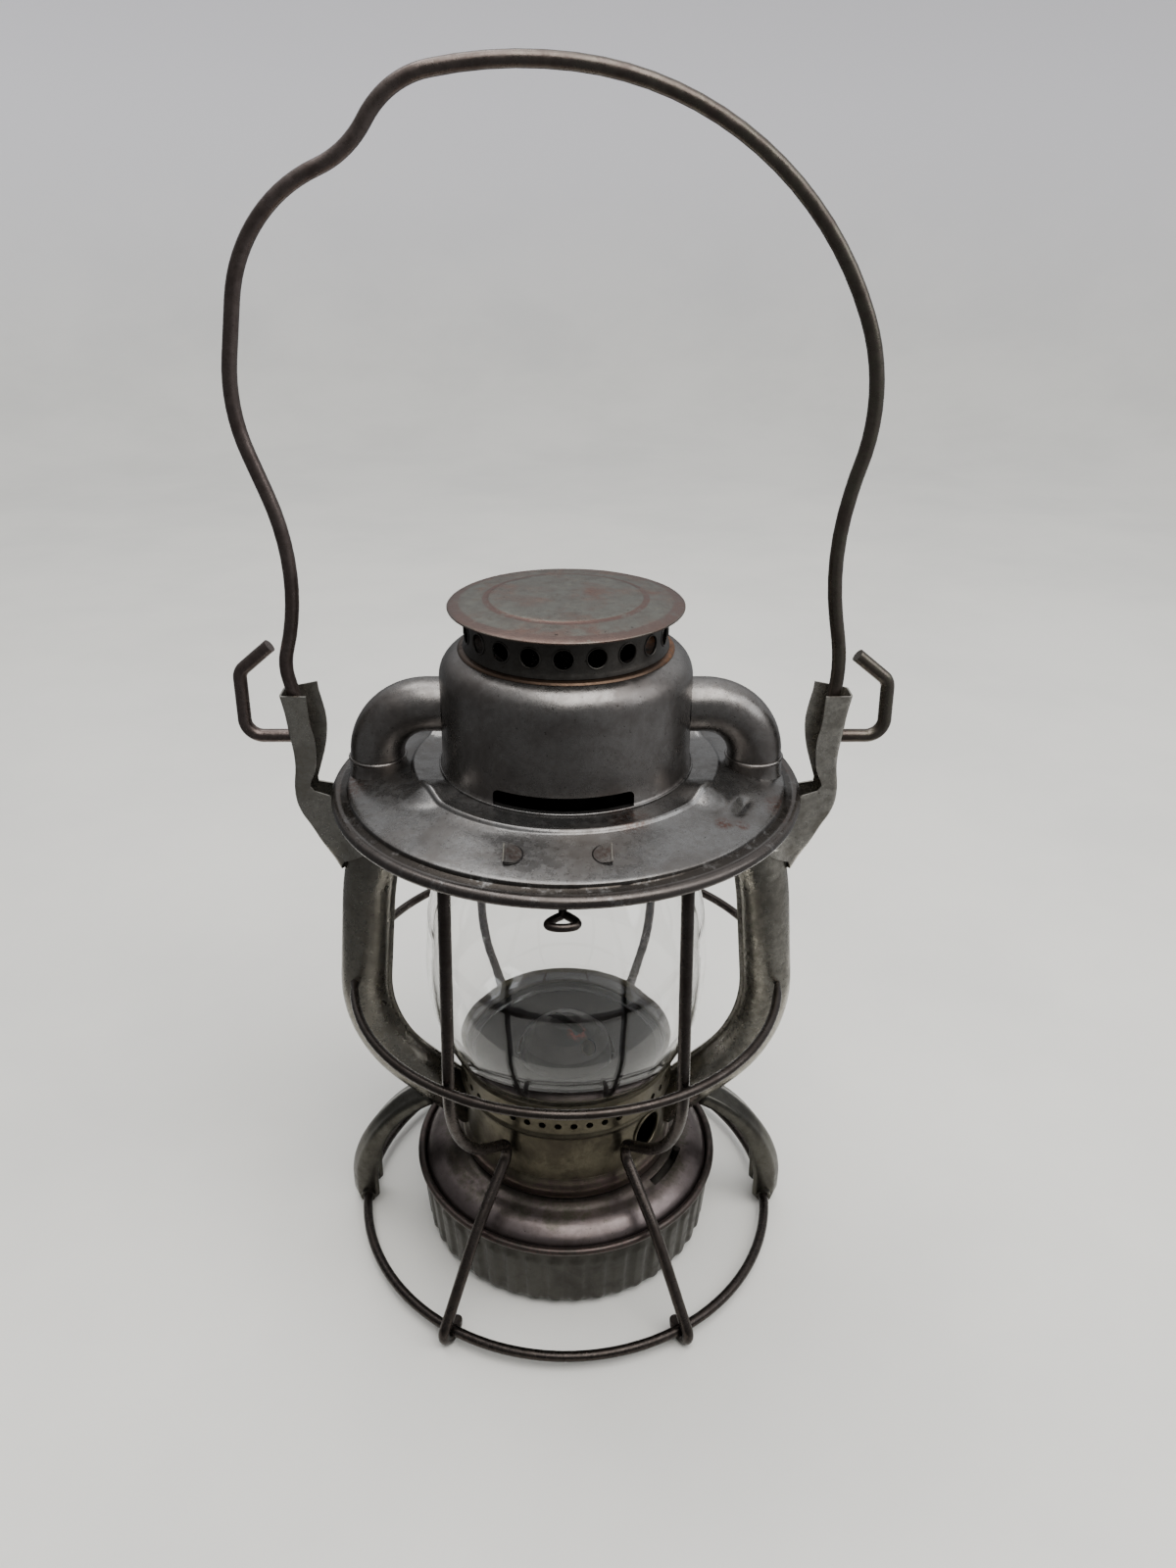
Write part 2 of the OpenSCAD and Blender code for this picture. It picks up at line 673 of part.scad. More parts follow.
// Frame's half of the hinge: a strap from the upper ring with two knuckles
module hinge_leaf_frame() {
    strap_half = hood_knuckle_w / 2 + 0.2 + frame_knuckle_w;
    strap_z = upper_ring_z - upper_wire_d / 2 - 0.9;
    color(tin_dark) difference() {
        union() {
            translate([-strap_half, upper_ring_r - 3, strap_z])
                cube([2 * strap_half, hinge_y + knuckle_r - upper_ring_r + 3, 0.9]);
            translate([-strap_half, hinge_y + knuckle_r - 0.9, strap_z])
                cube([2 * strap_half, 0.9, hinge_z - strap_z]);
            translate([-strap_half, hinge_y, hinge_z]) rotate([0, 90, 0])
                cylinder(h = 2 * strap_half, r = knuckle_r, $fn = 32);
        }
        translate([-far / 2, hinge_y, hinge_z]) rotate([0, 90, 0])
            cylinder(h = far, d = hinge_pin_d, $fn = 32);
        translate([-hood_knuckle_w / 2 - 0.2, hinge_y - 4, strap_z + 0.9])
            cube([hood_knuckle_w + 0.4, 10, 10]);
    }
}

// Hinge pin, headed over at both ends
module hinge_pin() {
    half = hood_knuckle_w / 2 + 0.2 + frame_knuckle_w;
    color("#8a8780") translate([0, hinge_y, hinge_z]) rotate([0, 90, 0]) {
        translate([0, 0, -half]) cylinder(h = 2 * half, d = hinge_pin_d, $fn = 32);
        for (end = [-half - 0.8, half])
            translate([0, 0, end]) cylinder(h = 0.8, d = hinge_pin_d + 1, $fn = 32);
    }
}

// Hood's half of the hinge, soldered on the rim
module hinge_leaf_hood() {
    color(tin_dark) difference() {
        union() {
            translate([-hood_knuckle_w / 2, hinge_y, hinge_z]) rotate([0, 90, 0])
                cylinder(h = hood_knuckle_w, r = knuckle_r, $fn = 32);
            translate([-hood_knuckle_w / 2, rim_r, hinge_z + knuckle_r - 0.8])
                cube([hood_knuckle_w, hinge_y - rim_r, 0.8]);
        }
        translate([-far / 2, hinge_y, hinge_z]) rotate([0, 90, 0])
            cylinder(h = far, d = hinge_pin_d + 2 * fit_gap, $fn = 32);
        wire_ring(rim_r, rim_z, 2 * rim_roll_r + 0.04);
    }
}

// Half-moon outline with its flat side away from the middle
module half_moon(r) {
    intersection() {
        circle(r, $fn = 32);
        translate([-r * 0.3, -r]) square([2 * r, 2 * r]);
    }
}

// Hood plate with its wired rim, humps, half-moon lances and latch clips
module hood_plate() {
    latch_clip_x = latch_axle_w / 2 - 2.5;
    color(tin) difference() {
        union() {
            spun(plate_line);
            wire_ring(rim_r, rim_z, 2 * rim_roll_r);
            for (side = [-1, 1]) for (back = [0, 180])
                rotate([0, 0, back + side * hump_azimuth - 90]) intersection() {
                    translate([ridge_r - 1, 0, ridge_z + hump_h - 12]) sphere(12);
                    over_plate(sheet / 2);
                }
            for (side = [-1, 1])
                translate([side * latch_clip_x - latch_shift - 1.5, -latch_axle_y, axle_z]) {
                    rotate([0, 90, 0])
                        cylinder(h = 3, r = latch_wire_d / 2 + 0.8, $fn = 32);
                    translate([0, -latch_wire_d / 2 - 0.8, 0])
                        cube([3, latch_wire_d + 1.6, 1]);
                }
            for (side = [-1, 1])
                translate([side * latch_clip_x - latch_shift, -latch_axle_y,
                    height_on(plate_line, latch_axle_y + 3) - 0.4])
                    rotate([0, 0, side > 0 ? 180 : 0])
                        linear_extrude(1.1) half_moon(4.4);
        }
        wire_ring(rim_r, rim_z, 2 * rim_roll_r - 1.2);
        translate([-latch_axle_w, -latch_axle_y, axle_z]) rotate([0, 90, 0])
            cylinder(h = 2 * latch_axle_w, d = latch_wire_d + 2 * fit_gap, $fn = 32);
        for (side = [-1, 1])
            translate([side * elbow_x, 0, elbow_start_z])
                cylinder(h = far, r = elbow_bore_r, center = true);
    }
}

// Wire inside the rolled rim
module rim_wire() {
    color(wire_brown) wire_ring(rim_r, rim_z, 2 * rim_roll_r - 1.3);
}

// Drum
shoulder_c = [drum_r - shoulder_r, drum_top_z - shoulder_r];
drum_line = concat(
    arc(shoulder_c, shoulder_r, acos((mouth_r - shoulder_c[0]) / shoulder_r), 0, 8),
    [[drum_r, drum_foot_z]]);
module drum() {
    corner = 2;
    color(tin) difference() {
        spun(drum_line);
        translate([0, 0, drum_foot_z]) rotate([90, 0, 0]) linear_extrude(far) {
            translate([-slot_w / 2, -1]) square([slot_w, slot_h + 1 - corner]);
            translate([-slot_w / 2 + corner, -1])
                square([slot_w - 2 * corner, slot_h + 1]);
            for (side = [-1, 1])
                translate([side * (slot_w / 2 - corner), slot_h - corner])
                    circle(corner, $fn = 32);
        }
        for (side = [-90, 90])
            translate([0, 0, elbow_z]) rotate([0, side, 0])
                cylinder(h = far, r = elbow_bore_r);
    }
}

// Ring that joins the chimney, the drum's mouth and the vent band
module drum_neck() {
    chimney_top_r = 24.6;
    color("#7d5636") rotate_extrude() {
        translate([chimney_top_r, neck_z - sheet]) square([mouth_r - 0.1 - chimney_top_r, sheet]);
        translate([mouth_r - 0.1 - sheet, neck_z - sheet]) square([sheet, 3.4]);
    }
}

// Turn of the row of vents from the front
vent_turn = -1.35;

// Band with a row of round vents under the cap
module vent_band() {
    band_top_z = height_on(cap_line, band_r) - sheet - 0.1;
    color(tin_dark) difference() {
        translate([0, 0, neck_z])
            ring(min(band_r, mouth_r - 0.2 - sheet), band_r - sheet, band_top_z - neck_z);
        for (i = [0:band_holes - 1])
            rotate([0, 0, 360 * i / band_holes - 90 + vent_turn])
                translate([band_r - 5, 0, band_hole_z]) rotate([0, 90, 0])
                    cylinder(h = 10, d = band_hole_d, $fn = 24);
    }
}

// Cap with a low concentric step
cap_line = [[0, cap_edge_z + cap_rise], [6, cap_edge_z + cap_rise],
    [cap_r * 0.62, cap_edge_z + cap_rise - 0.5],
    [cap_r * 0.66, cap_edge_z + cap_rise - 0.9], [cap_r * 0.86, cap_edge_z + 0.9],
    [cap_r - 1, cap_edge_z + 0.1], [cap_r, cap_edge_z - 0.7]];
module cap() {
    color("#5f5e55") spun(cap_line);
}

// Elbow from the hood plate to the drum's side
module elbow(right) {
    path = [[-elbow_x, elbow_start_z], [-elbow_x, elbow_z], [0, elbow_z]];
    color(tin) other_side(right) difference() {
        intersection() {
            bent_bar(path, [elbow_bend], elbow_r);
            over_plate();
        }
        bent_bar(path, [elbow_bend], elbow_bore_r);
        cylinder(h = far, r = drum_r + 0.02);
    }
}

// Short seamed ferrule round the elbow's foot, with a fine bead of solder
ferrule_t = 0.4;
ferrule_bead_r = 0.4;
module ferrule(right) {
    color(tin_dark) other_side(right) intersection() {
        translate([-elbow_x, 0, 0]) {
            translate([0, 0, elbow_start_z])
                ring(elbow_r + ferrule_t, elbow_r + 0.03, ferrule_top_z - elbow_start_z);
            translate([0, 0, ferrule_top_z - ferrule_bead_r]) rotate_extrude()
                translate([elbow_r + ferrule_t, 0]) circle(ferrule_bead_r, $fn = 24);
        }
        over_plate();
    }
}

// Ring and skirt under the hood that keep the globe's top in place
module globe_holder() {
    skirt_foot_r = globe_top_r + 4.5;
    skirt_top_r = ridge_r - 8;
    lip_r = globe_top_r + 3.4;
    color(tin_dark) difference() {
        union() {
            spun([[globe_top_r - 5, holder_z], [skirt_foot_r, holder_z],
                [skirt_top_r, height_on(plate_line, skirt_top_r) - sheet - 0.5]]);
            translate([0, 0, holder_z - 3]) ring(lip_r + sheet, lip_r, 2.8);
        }
        for (i = [0:11])
            rotate([0, 0, 30 * i + 15]) translate([globe_top_r - 2.5, 0, holder_z + 8])
                rotate([0, 90, 0]) cylinder(h = 20, d = 5, $fn = 24);
    }
}

// Chimney inside the drum, from the globe to the vent
module inner_chimney() {
    color(tin_dark) spun([[25, neck_z - sheet], [globe_top_r - 4.4, holder_z + 0.02]]);
}

// Latch: a wire axle under the plate, an arm over the ring and a finger eye
module latch_wire() {
    r = latch_wire_d / 2;
    arm_y = rim_r - rim_roll_r - latch_rim_gap - r;
    color(wire_brown) {
        translate([-latch_axle_w / 2 - latch_shift, -latch_axle_y, axle_z]) rotate([0, 90, 0])
            cylinder(h = latch_axle_w, r = r, $fn = 32);
        translate([latch_arm_x, 0, 0]) rotate([0, 0, -90])
            bent_bar([[latch_axle_y, axle_z], [arm_y, rim_z + 2.1], [arm_y, latch_eye_z]],
                [2], r);
        translate([latch_arm_x, -arm_y - latch_eye_r, latch_eye_z]) rotate_extrude()
            translate([latch_eye_r, 0]) circle(r, $fn = 32);
    }
}

// Fount shell: beaded rim, fluted wall and closed bottom
wall_foot_r = fount_wall_r - 1.9;
fount_line = [[fount_bead_r - 0.6, fount_bead_z], [fount_wall_r, fount_bead_z - 6],
    [wall_foot_r, fount_foot_z + 1.8], [wall_foot_r - 0.6, fount_foot_z + 0.5],
    [wall_foot_r - 1.8, fount_foot_z], [wall_foot_r - 5, fount_foot_z],
    [wall_foot_r - 7, fount_foot_z + 1.2], [0, fount_foot_z + 1.2]];
module fount_shell() {
    flute_r = 4.3;
    low = [fount_wall_r - 1.8, fount_foot_z + 3.2];
    high = [fount_wall_r - 0.1, fount_bead_z - 4.6];
    lean = heading(high - low);
    inner = [for (i = [0:len(fount_line) - 1])
        fount_line[i] + sheet * miter(fount_line, i)];
    color("#67645f") difference() {
        union() {
            rotate_extrude() polygon(concat(fount_line, [[0, fount_bead_z]]));
            wire_ring(fount_bead_r, fount_bead_z, fount_bead_d);
            for (i = [0:flutes - 1])
                rotate([0, 0, 360 * i / flutes])
                    translate([low[0] + flute_h - flute_r, 0, low[1]])
                        rotate([0, lean, 0])
                            cylinder(h = norm(high - low), r = flute_r, $fn = 32);
        }
        rotate_extrude() polygon(concat(inner, [[0, 60], [inner[0][0], 60]]));
    }
}

// Fount top: domed plate with the burner's neck, filler hole and bayonet studs
fount_top_line = [[burner_r - 1, bell_top_z + 0.8], [30, bell_top_z - 2],
    [45, bell_top_z - 6.7], [54, bell_top_z - 11], [fount_wall_r - 0.9, bell_foot_z - 1.7]];
filler_at = 30.5;
filler_azimuth = 200;
filler_r = 7;
stud_azimuth = slot_end_azimuth - asin((stud_d / 2 + 0.3) / stud_r);
module fount_top() {
    top_z = height_on(fount_top_line, stud_r);
    color(tin_dark) difference() {
        union() {
            spun(fount_top_line);
            translate([0, 0, bell_top_z - 1]) ring(burner_r - 1, burner_r - 1 - sheet, 5);
            for (turn = [0, 180])
                rotate([0, 0, turn + stud_azimuth - 90])
                    translate([stud_r, 0, top_z - 0.5])
                        cylinder(h = height_on(bell_line, stud_r) - top_z + 1,
                            d = stud_d, $fn = 24);
        }
        rotate([0, 0, filler_azimuth - 90]) translate([filler_at, 0, 0])
            cylinder(h = far, r = filler_r - sheet, $fn = 48);
    }
}

// Filler neck soldered in the fount top
module filler_neck() {
    color(brass) rotate([0, 0, filler_azimuth - 90]) translate([filler_at, 0, 0])
        difference() {
            translate([0, 0, bell_top_z - 6]) ring(filler_r, filler_r - 0.5, 7.6);
            rotate_extrude_shift() polygon(concat([[0, 0]],
                [[0, height_on(fount_top_line, burner_r)]],
                [for (p = fount_top_line) p], [[far / 2, 0]]));
        }
}

// Turns a radial outline about the lantern's axis from a frame moved out to the filler
module rotate_extrude_shift() {
    translate([-filler_at, 0, 0]) rotate_extrude() children();
}

// Filler cap, a knurled screw cap over the filler neck
module filler_cap() {
    grips = 20;
    cap_out = filler_r + 0.9;
    top_z = bell_top_z + 1.6 + seat_gap + 0.9;
    color(brass) rotate([0, 0, filler_azimuth - 90]) translate([filler_at, 0, 0])
        difference() {
            translate([0, 0, top_z - filler_cap_h])
                cylinder(h = filler_cap_h, r = cap_out, $fn = 48);
            translate([0, 0, top_z - filler_cap_h - 0.9])
                cylinder(h = filler_cap_h, r = filler_r + fit_gap, $fn = 48);
            for (i = [0:grips - 1])
                rotate([0, 0, 360 * i / grips]) translate([cap_out + 0.3, 0, top_z - 5])
                    cylinder(h = 6, r = 0.6, $fn = 16);
        }
}

// Burner
gallery_foot_z = bell_top_z + 4.05;
shaft_y = wick_t / 2 + spur_r + 0.05;
thumb_at = collar_bore_r - 9;
burner_turn = reach_azimuth - 90 - asin(shaft_y / thumb_at);
module burner_gallery() {
    color(brass) difference() {
        union() {
            translate([0, 0, gallery_foot_z]) ring(burner_r, burner_r - sheet, draft_z - 6 - gallery_foot_z);
            translate([0, 0, gallery_foot_z]) ring(burner_r, wick_w / 2 + 2, 1);
            translate([0, 0, gallery_foot_z - 4]) ring(burner_r - 1 - sheet - 0.05, burner_r - 2.4, 4.1);
        }
        for (i = [0:11])
            rotate([0, 0, 30 * i]) translate([burner_r - 4, 0, gallery_foot_z + 6])
                rotate([0, 90, 0]) cylinder(h = 8, d = 3, $fn = 24);
        rotate([0, 0, burner_turn]) translate([0, shaft_y, reach_z])
            rotate([0, 90, 0])
                cylinder(h = 60, d = wick_shaft_d + 2 * fit_gap, center = true, $fn = 32);
    }
}

// Cone that shapes the draught round the flame, with its wick slot and side hole
module burner_cone() {
    cone_foot_z = draft_z - 6;
    color(tin_dark) difference() {
        spun([[0, cone_top_z], [cone_r / 3, cone_top_z], [cone_r * 0.67, cone_top_z - 3],
            [cone_r * 0.92, cone_top_z - 8], [cone_r, cone_top_z - 14], [cone_r, cone_foot_z]]);
        rotate([0, 0, burner_turn]) {
            translate([-wick_w / 2 - 1, -wick_t / 2 - 1.2, cone_top_z - 5])
                cube([wick_w + 2, wick_t + 2.4, 10]);
            translate([cone_r * 0.55, 0, cone_top_z - 7]) rotate([0, 60, 0])
                cylinder(h = 20, r = 3, $fn = 24);
        }
    }
    color(tin_dark) translate([0, 0, cone_foot_z])
        ring(cone_r - sheet + 0.01, burner_r - 0.4, 0.6);
}

// Flat tube that guides the wick, with windows for the spur wheels
module wick_tube() {
    out_w = wick_w + 1.4;
    out_t = wick_t + 1.4;
    tube_z = bell_top_z + 1;
    color(brass) rotate([0, 0, burner_turn]) difference() {
        union() {
            translate([-out_w / 2, -out_t / 2, tube_z])
                cube([out_w, out_t, wick_top_z - 1.2 - tube_z]);
            translate([0, 0, gallery_foot_z]) cylinder(h = 1, r = wick_w / 2 + 1.95);
        }
        translate([-wick_w / 2 - 0.2, -wick_t / 2 - 0.2, 0])
            cube([wick_w + 0.4, wick_t + 0.4, far]);
        for (side = [-1, 1])
            translate([side * wick_w / 4 - 0.9, 0, reach_z - spur_r])
                cube([1.8, out_t, 2 * spur_r]);
    }
}

// Flat cotton wick
module wick() {
    foot_z = fount_foot_z + 8;
    color("#d8cfb8") rotate([0, 0, burner_turn])
        translate([-wick_w / 2, -wick_t / 2, foot_z])
            cube([wick_w, wick_t, wick_top_z - foot_z]);
}

// Wick shaft with two spur wheels and the thumb wheel behind the collar's hole
module wick_shaft() {
    teeth = 12;
    color(brass) rotate([0, 0, burner_turn]) translate([0, shaft_y, reach_z])
        rotate([0, 90, 0]) {
            translate([0, 0, -burner_r]) cylinder(h = burner_r + thumb_at, d = wick_shaft_d, $fn = 32);
            for (side = [-1, 1]) difference() {
                translate([0, 0, side * wick_w / 4 - 0.5]) cylinder(h = 1, r = spur_r, $fn = 48);
                for (i = [0:teeth - 1])
                    rotate([0, 0, 360 * i / teeth]) translate([spur_r + 0.2, 0, -20])
                        cylinder(h = 40, r = 0.6, $fn = 16);
            }
            difference() {
                translate([0, 0, thumb_at - 2]) cylinder(h = 2.4, r = 5.5, $fn = 48);
                for (i = [0:15])
                    rotate([0, 0, 22.5 * i]) translate([5.8, 0, thumb_at - 3])
                        cylinder(h = 5, r = 0.6, $fn = 16);
            }
        }
}

foot_ring();
strap_leg(false);  // strap_leg_left
strap_leg(true);  // strap_leg_right
guard_wire(-guard_azimuth);  // guard_wire_front_left
guard_wire(guard_azimuth);  // guard_wire_front_right
guard_wire(180 + guard_azimuth);  // guard_wire_rear_left
guard_wire(180 - guard_azimuth);  // guard_wire_rear_right
guard_ring(true);  // guard_ring_front
guard_ring(false);  // guard_ring_rear
upper_guard_ring();
side_tube(false);  // side_tube_left
side_tube(true);  // side_tube_right
ear(false);  // ear_left
ear(true);  // ear_right
collar();
bell();
draft_plate();
globe();
hinge_leaf_frame();
hinge_pin();
hood_plate();
rim_wire();
drum();
drum_neck();
vent_band();
cap();
elbow(false);  // elbow_left
elbow(true);  // elbow_right
ferrule(false);  // ferrule_left
ferrule(true);  // ferrule_right
globe_holder();
inner_chimney();
hinge_leaf_hood();
latch_wire();
bail();
bail_leg_springs();
bail_hooks();
fount_shell();
fount_top();
filler_neck();
filler_cap();
burner_gallery();
burner_cone();
wick_tube();
wick();
wick_shaft();
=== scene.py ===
"""Railroad hand lantern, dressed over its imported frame.

Every piece is modelled in millimetres in the frame's own axes and scaled to metres as it is
finished: the front is at -Y, +X is to the right and the table is at Z = 0.
"""

import logging
import math
from collections.abc import Callable, Sequence
from dataclasses import dataclass, field
from enum import Enum

import bmesh
import bpy
from mathutils import Matrix, Vector, noise


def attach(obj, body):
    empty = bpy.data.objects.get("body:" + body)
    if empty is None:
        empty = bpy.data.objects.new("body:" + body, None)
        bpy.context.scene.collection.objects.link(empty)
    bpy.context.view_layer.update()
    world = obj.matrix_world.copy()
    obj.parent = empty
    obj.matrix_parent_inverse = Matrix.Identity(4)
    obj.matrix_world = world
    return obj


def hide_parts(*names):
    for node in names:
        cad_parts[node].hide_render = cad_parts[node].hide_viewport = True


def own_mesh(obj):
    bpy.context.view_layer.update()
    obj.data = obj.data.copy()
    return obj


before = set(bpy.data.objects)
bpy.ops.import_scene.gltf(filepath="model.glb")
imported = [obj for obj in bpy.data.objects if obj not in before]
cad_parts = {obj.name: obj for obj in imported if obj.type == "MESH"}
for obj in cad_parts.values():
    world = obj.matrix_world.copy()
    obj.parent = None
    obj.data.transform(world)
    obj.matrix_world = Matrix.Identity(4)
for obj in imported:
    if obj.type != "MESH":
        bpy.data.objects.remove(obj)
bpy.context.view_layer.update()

LOG = logging.getLogger("lantern")
MM = 0.001
Point = tuple[float, float]


class Body(Enum):
    """The moving bodies that pieces ride on."""

    FRAME = "frame"
    HOOD = "hood"
    LATCH = "latch"
    BAIL = "bail"
    FOUNT = "fount"


class Side(Enum):
    """Left or right of the lantern, as the sign of X."""

    LEFT = -1
    RIGHT = 1


def smoothstep(low: float, high: float, value: float) -> float:
    """Eases from 0 at low to 1 at high."""
    share = min(max((value - low) / (high - low), 0.0), 1.0)
    return share * share * (3 - 2 * share)


def smooth_line(points: Sequence[Point], steps: int = 4) -> list[Point]:
    """Runs a smooth curve through points.

    Args:
        points: the points that the curve passes through.
        steps: how many steps there are from one point to the next.

    Returns:
        The points of the finer line.
    """
    line: list[Point] = []
    last = len(points) - 1
    for i in range(last):
        a, b = Vector(points[max(i - 1, 0)]), Vector(points[i])
        c, d = Vector(points[i + 1]), Vector(points[min(i + 2, last)])
        for k in range(steps):
            t = k / steps
            p = 0.5 * (2 * b + (c - a) * t + (2 * a - 5 * b + 4 * c - d) * t**2 + (3 * b - a - 3 * c + d) * t**3)
            line.append((p.x, p.y))
    line.append(tuple(points[last]))
    return line


def arc_line(centre: Point, radius: float, start: float, end: float, steps: int = 12) -> list[Point]:
    """Gives points along an arc between two angles in degrees."""
    angles = [math.radians(start + (end - start) * i / steps) for i in range(steps + 1)]
    return [(centre[0] + radius * math.cos(a), centre[1] + radius * math.sin(a)) for a in angles]


def spaced(line: Sequence[Point], count: int) -> list[Point]:
    """Gives evenly spaced points along a line, both of its ends included."""
    lengths = [math.dist(a, b) for a, b in zip(line, line[1:], strict=False)]
    total = sum(lengths)
    points: list[Point] = []
    for k in range(count):
        left = total * k / (count - 1)
        i = 0
        while i < len(lengths) - 1 and left > lengths[i]:
            left -= lengths[i]
            i += 1
        share = min(left / max(lengths[i], 1e-9), 1.0)
        (x0, y0), (x1, y1) = line[i], line[i + 1]
        points.append((x0 + (x1 - x0) * share, y0 + (y1 - y0) * share))
    return points


def height_on(line: Sequence[Point], radius: float) -> float:
    """Reads the height of a line, given inside to outside, at a radius."""
    for (r0, z0), (r1, z1) in zip(line, line[1:], strict=False):
        if r0 <= radius <= r1:
            return z0 + (z1 - z0) * (radius - r0) / max(r1 - r0, 1e-6)
    return line[-1][1]


def sheet_outline(line: Sequence[Point], sheet: float) -> list[Point]:
    """Closes a line into the outline of a sheet that lies on its right side.

    Args:
        line: the sheet's visible face as (radius, height) points.
        sheet: the sheet's thickness.

    Returns:
        The closed outline, the face first and then the back in reverse.
    """
    points = [Vector(p) for p in line]
    back: list[Vector] = []
    for i, p in enumerate(points):
        before = (p - points[i - 1]) if i else (points[1] - p)
        after = (points[i + 1] - p) if i < len(points) - 1 else before
        a, b = before.normalized(), after.normalized()
        middle = (a + b).normalized()
        right = Vector((middle.y, -middle.x))
        back.append(p + right * sheet / max(right.dot(Vector((a.y, -a.x))), 0.35))
    return [(p.x, p.y) for p in points] + [(p.x, p.y) for p in reversed(back)]


def bent_path(corners: Sequence[Point], bends: Sequence[float], step: float = 6.0) -> list[Point]:
    """Rounds the corners of a line, as a wire is bent.

    Args:
        corners: the line's corner points.
        bends: the bend radius at each corner between the ends.
        step: the angle in degrees between points on a bend.

    Returns:
        The points of the wire's centre line.
    """
    path = [tuple(corners[0])]
    for before, corner, after, bend in zip(corners, corners[1:], corners[2:], bends, strict=False):
        at = Vector(corner)
        a = (at - Vector(before)).normalized()
        b = (Vector(after) - at).normalized()
        turn = math.atan2(a.x * b.y - a.y * b.x, a.dot(b))
        start = at - a * bend * math.tan(abs(turn) / 2)
        centre = start + Vector((-a.y, a.x)) * math.copysign(bend, turn)
        count = max(2, math.ceil(abs(math.degrees(turn)) / step))
        for i in range(count + 1):
            p = centre + Matrix.Rotation(turn * i / count, 2) @ (start - centre)
            path.append((p.x, p.y))
    path.append(tuple(corners[-1]))
    return path


def in_plane(path: Sequence[Point], azimuth: float) -> list[Vector]:
    """Stands a line of (radius, height) in the upright plane at an azimuth from the front."""
    a = math.radians(azimuth)
    return [Vector((r * math.sin(a), -r * math.cos(a), z)) for r, z in path]


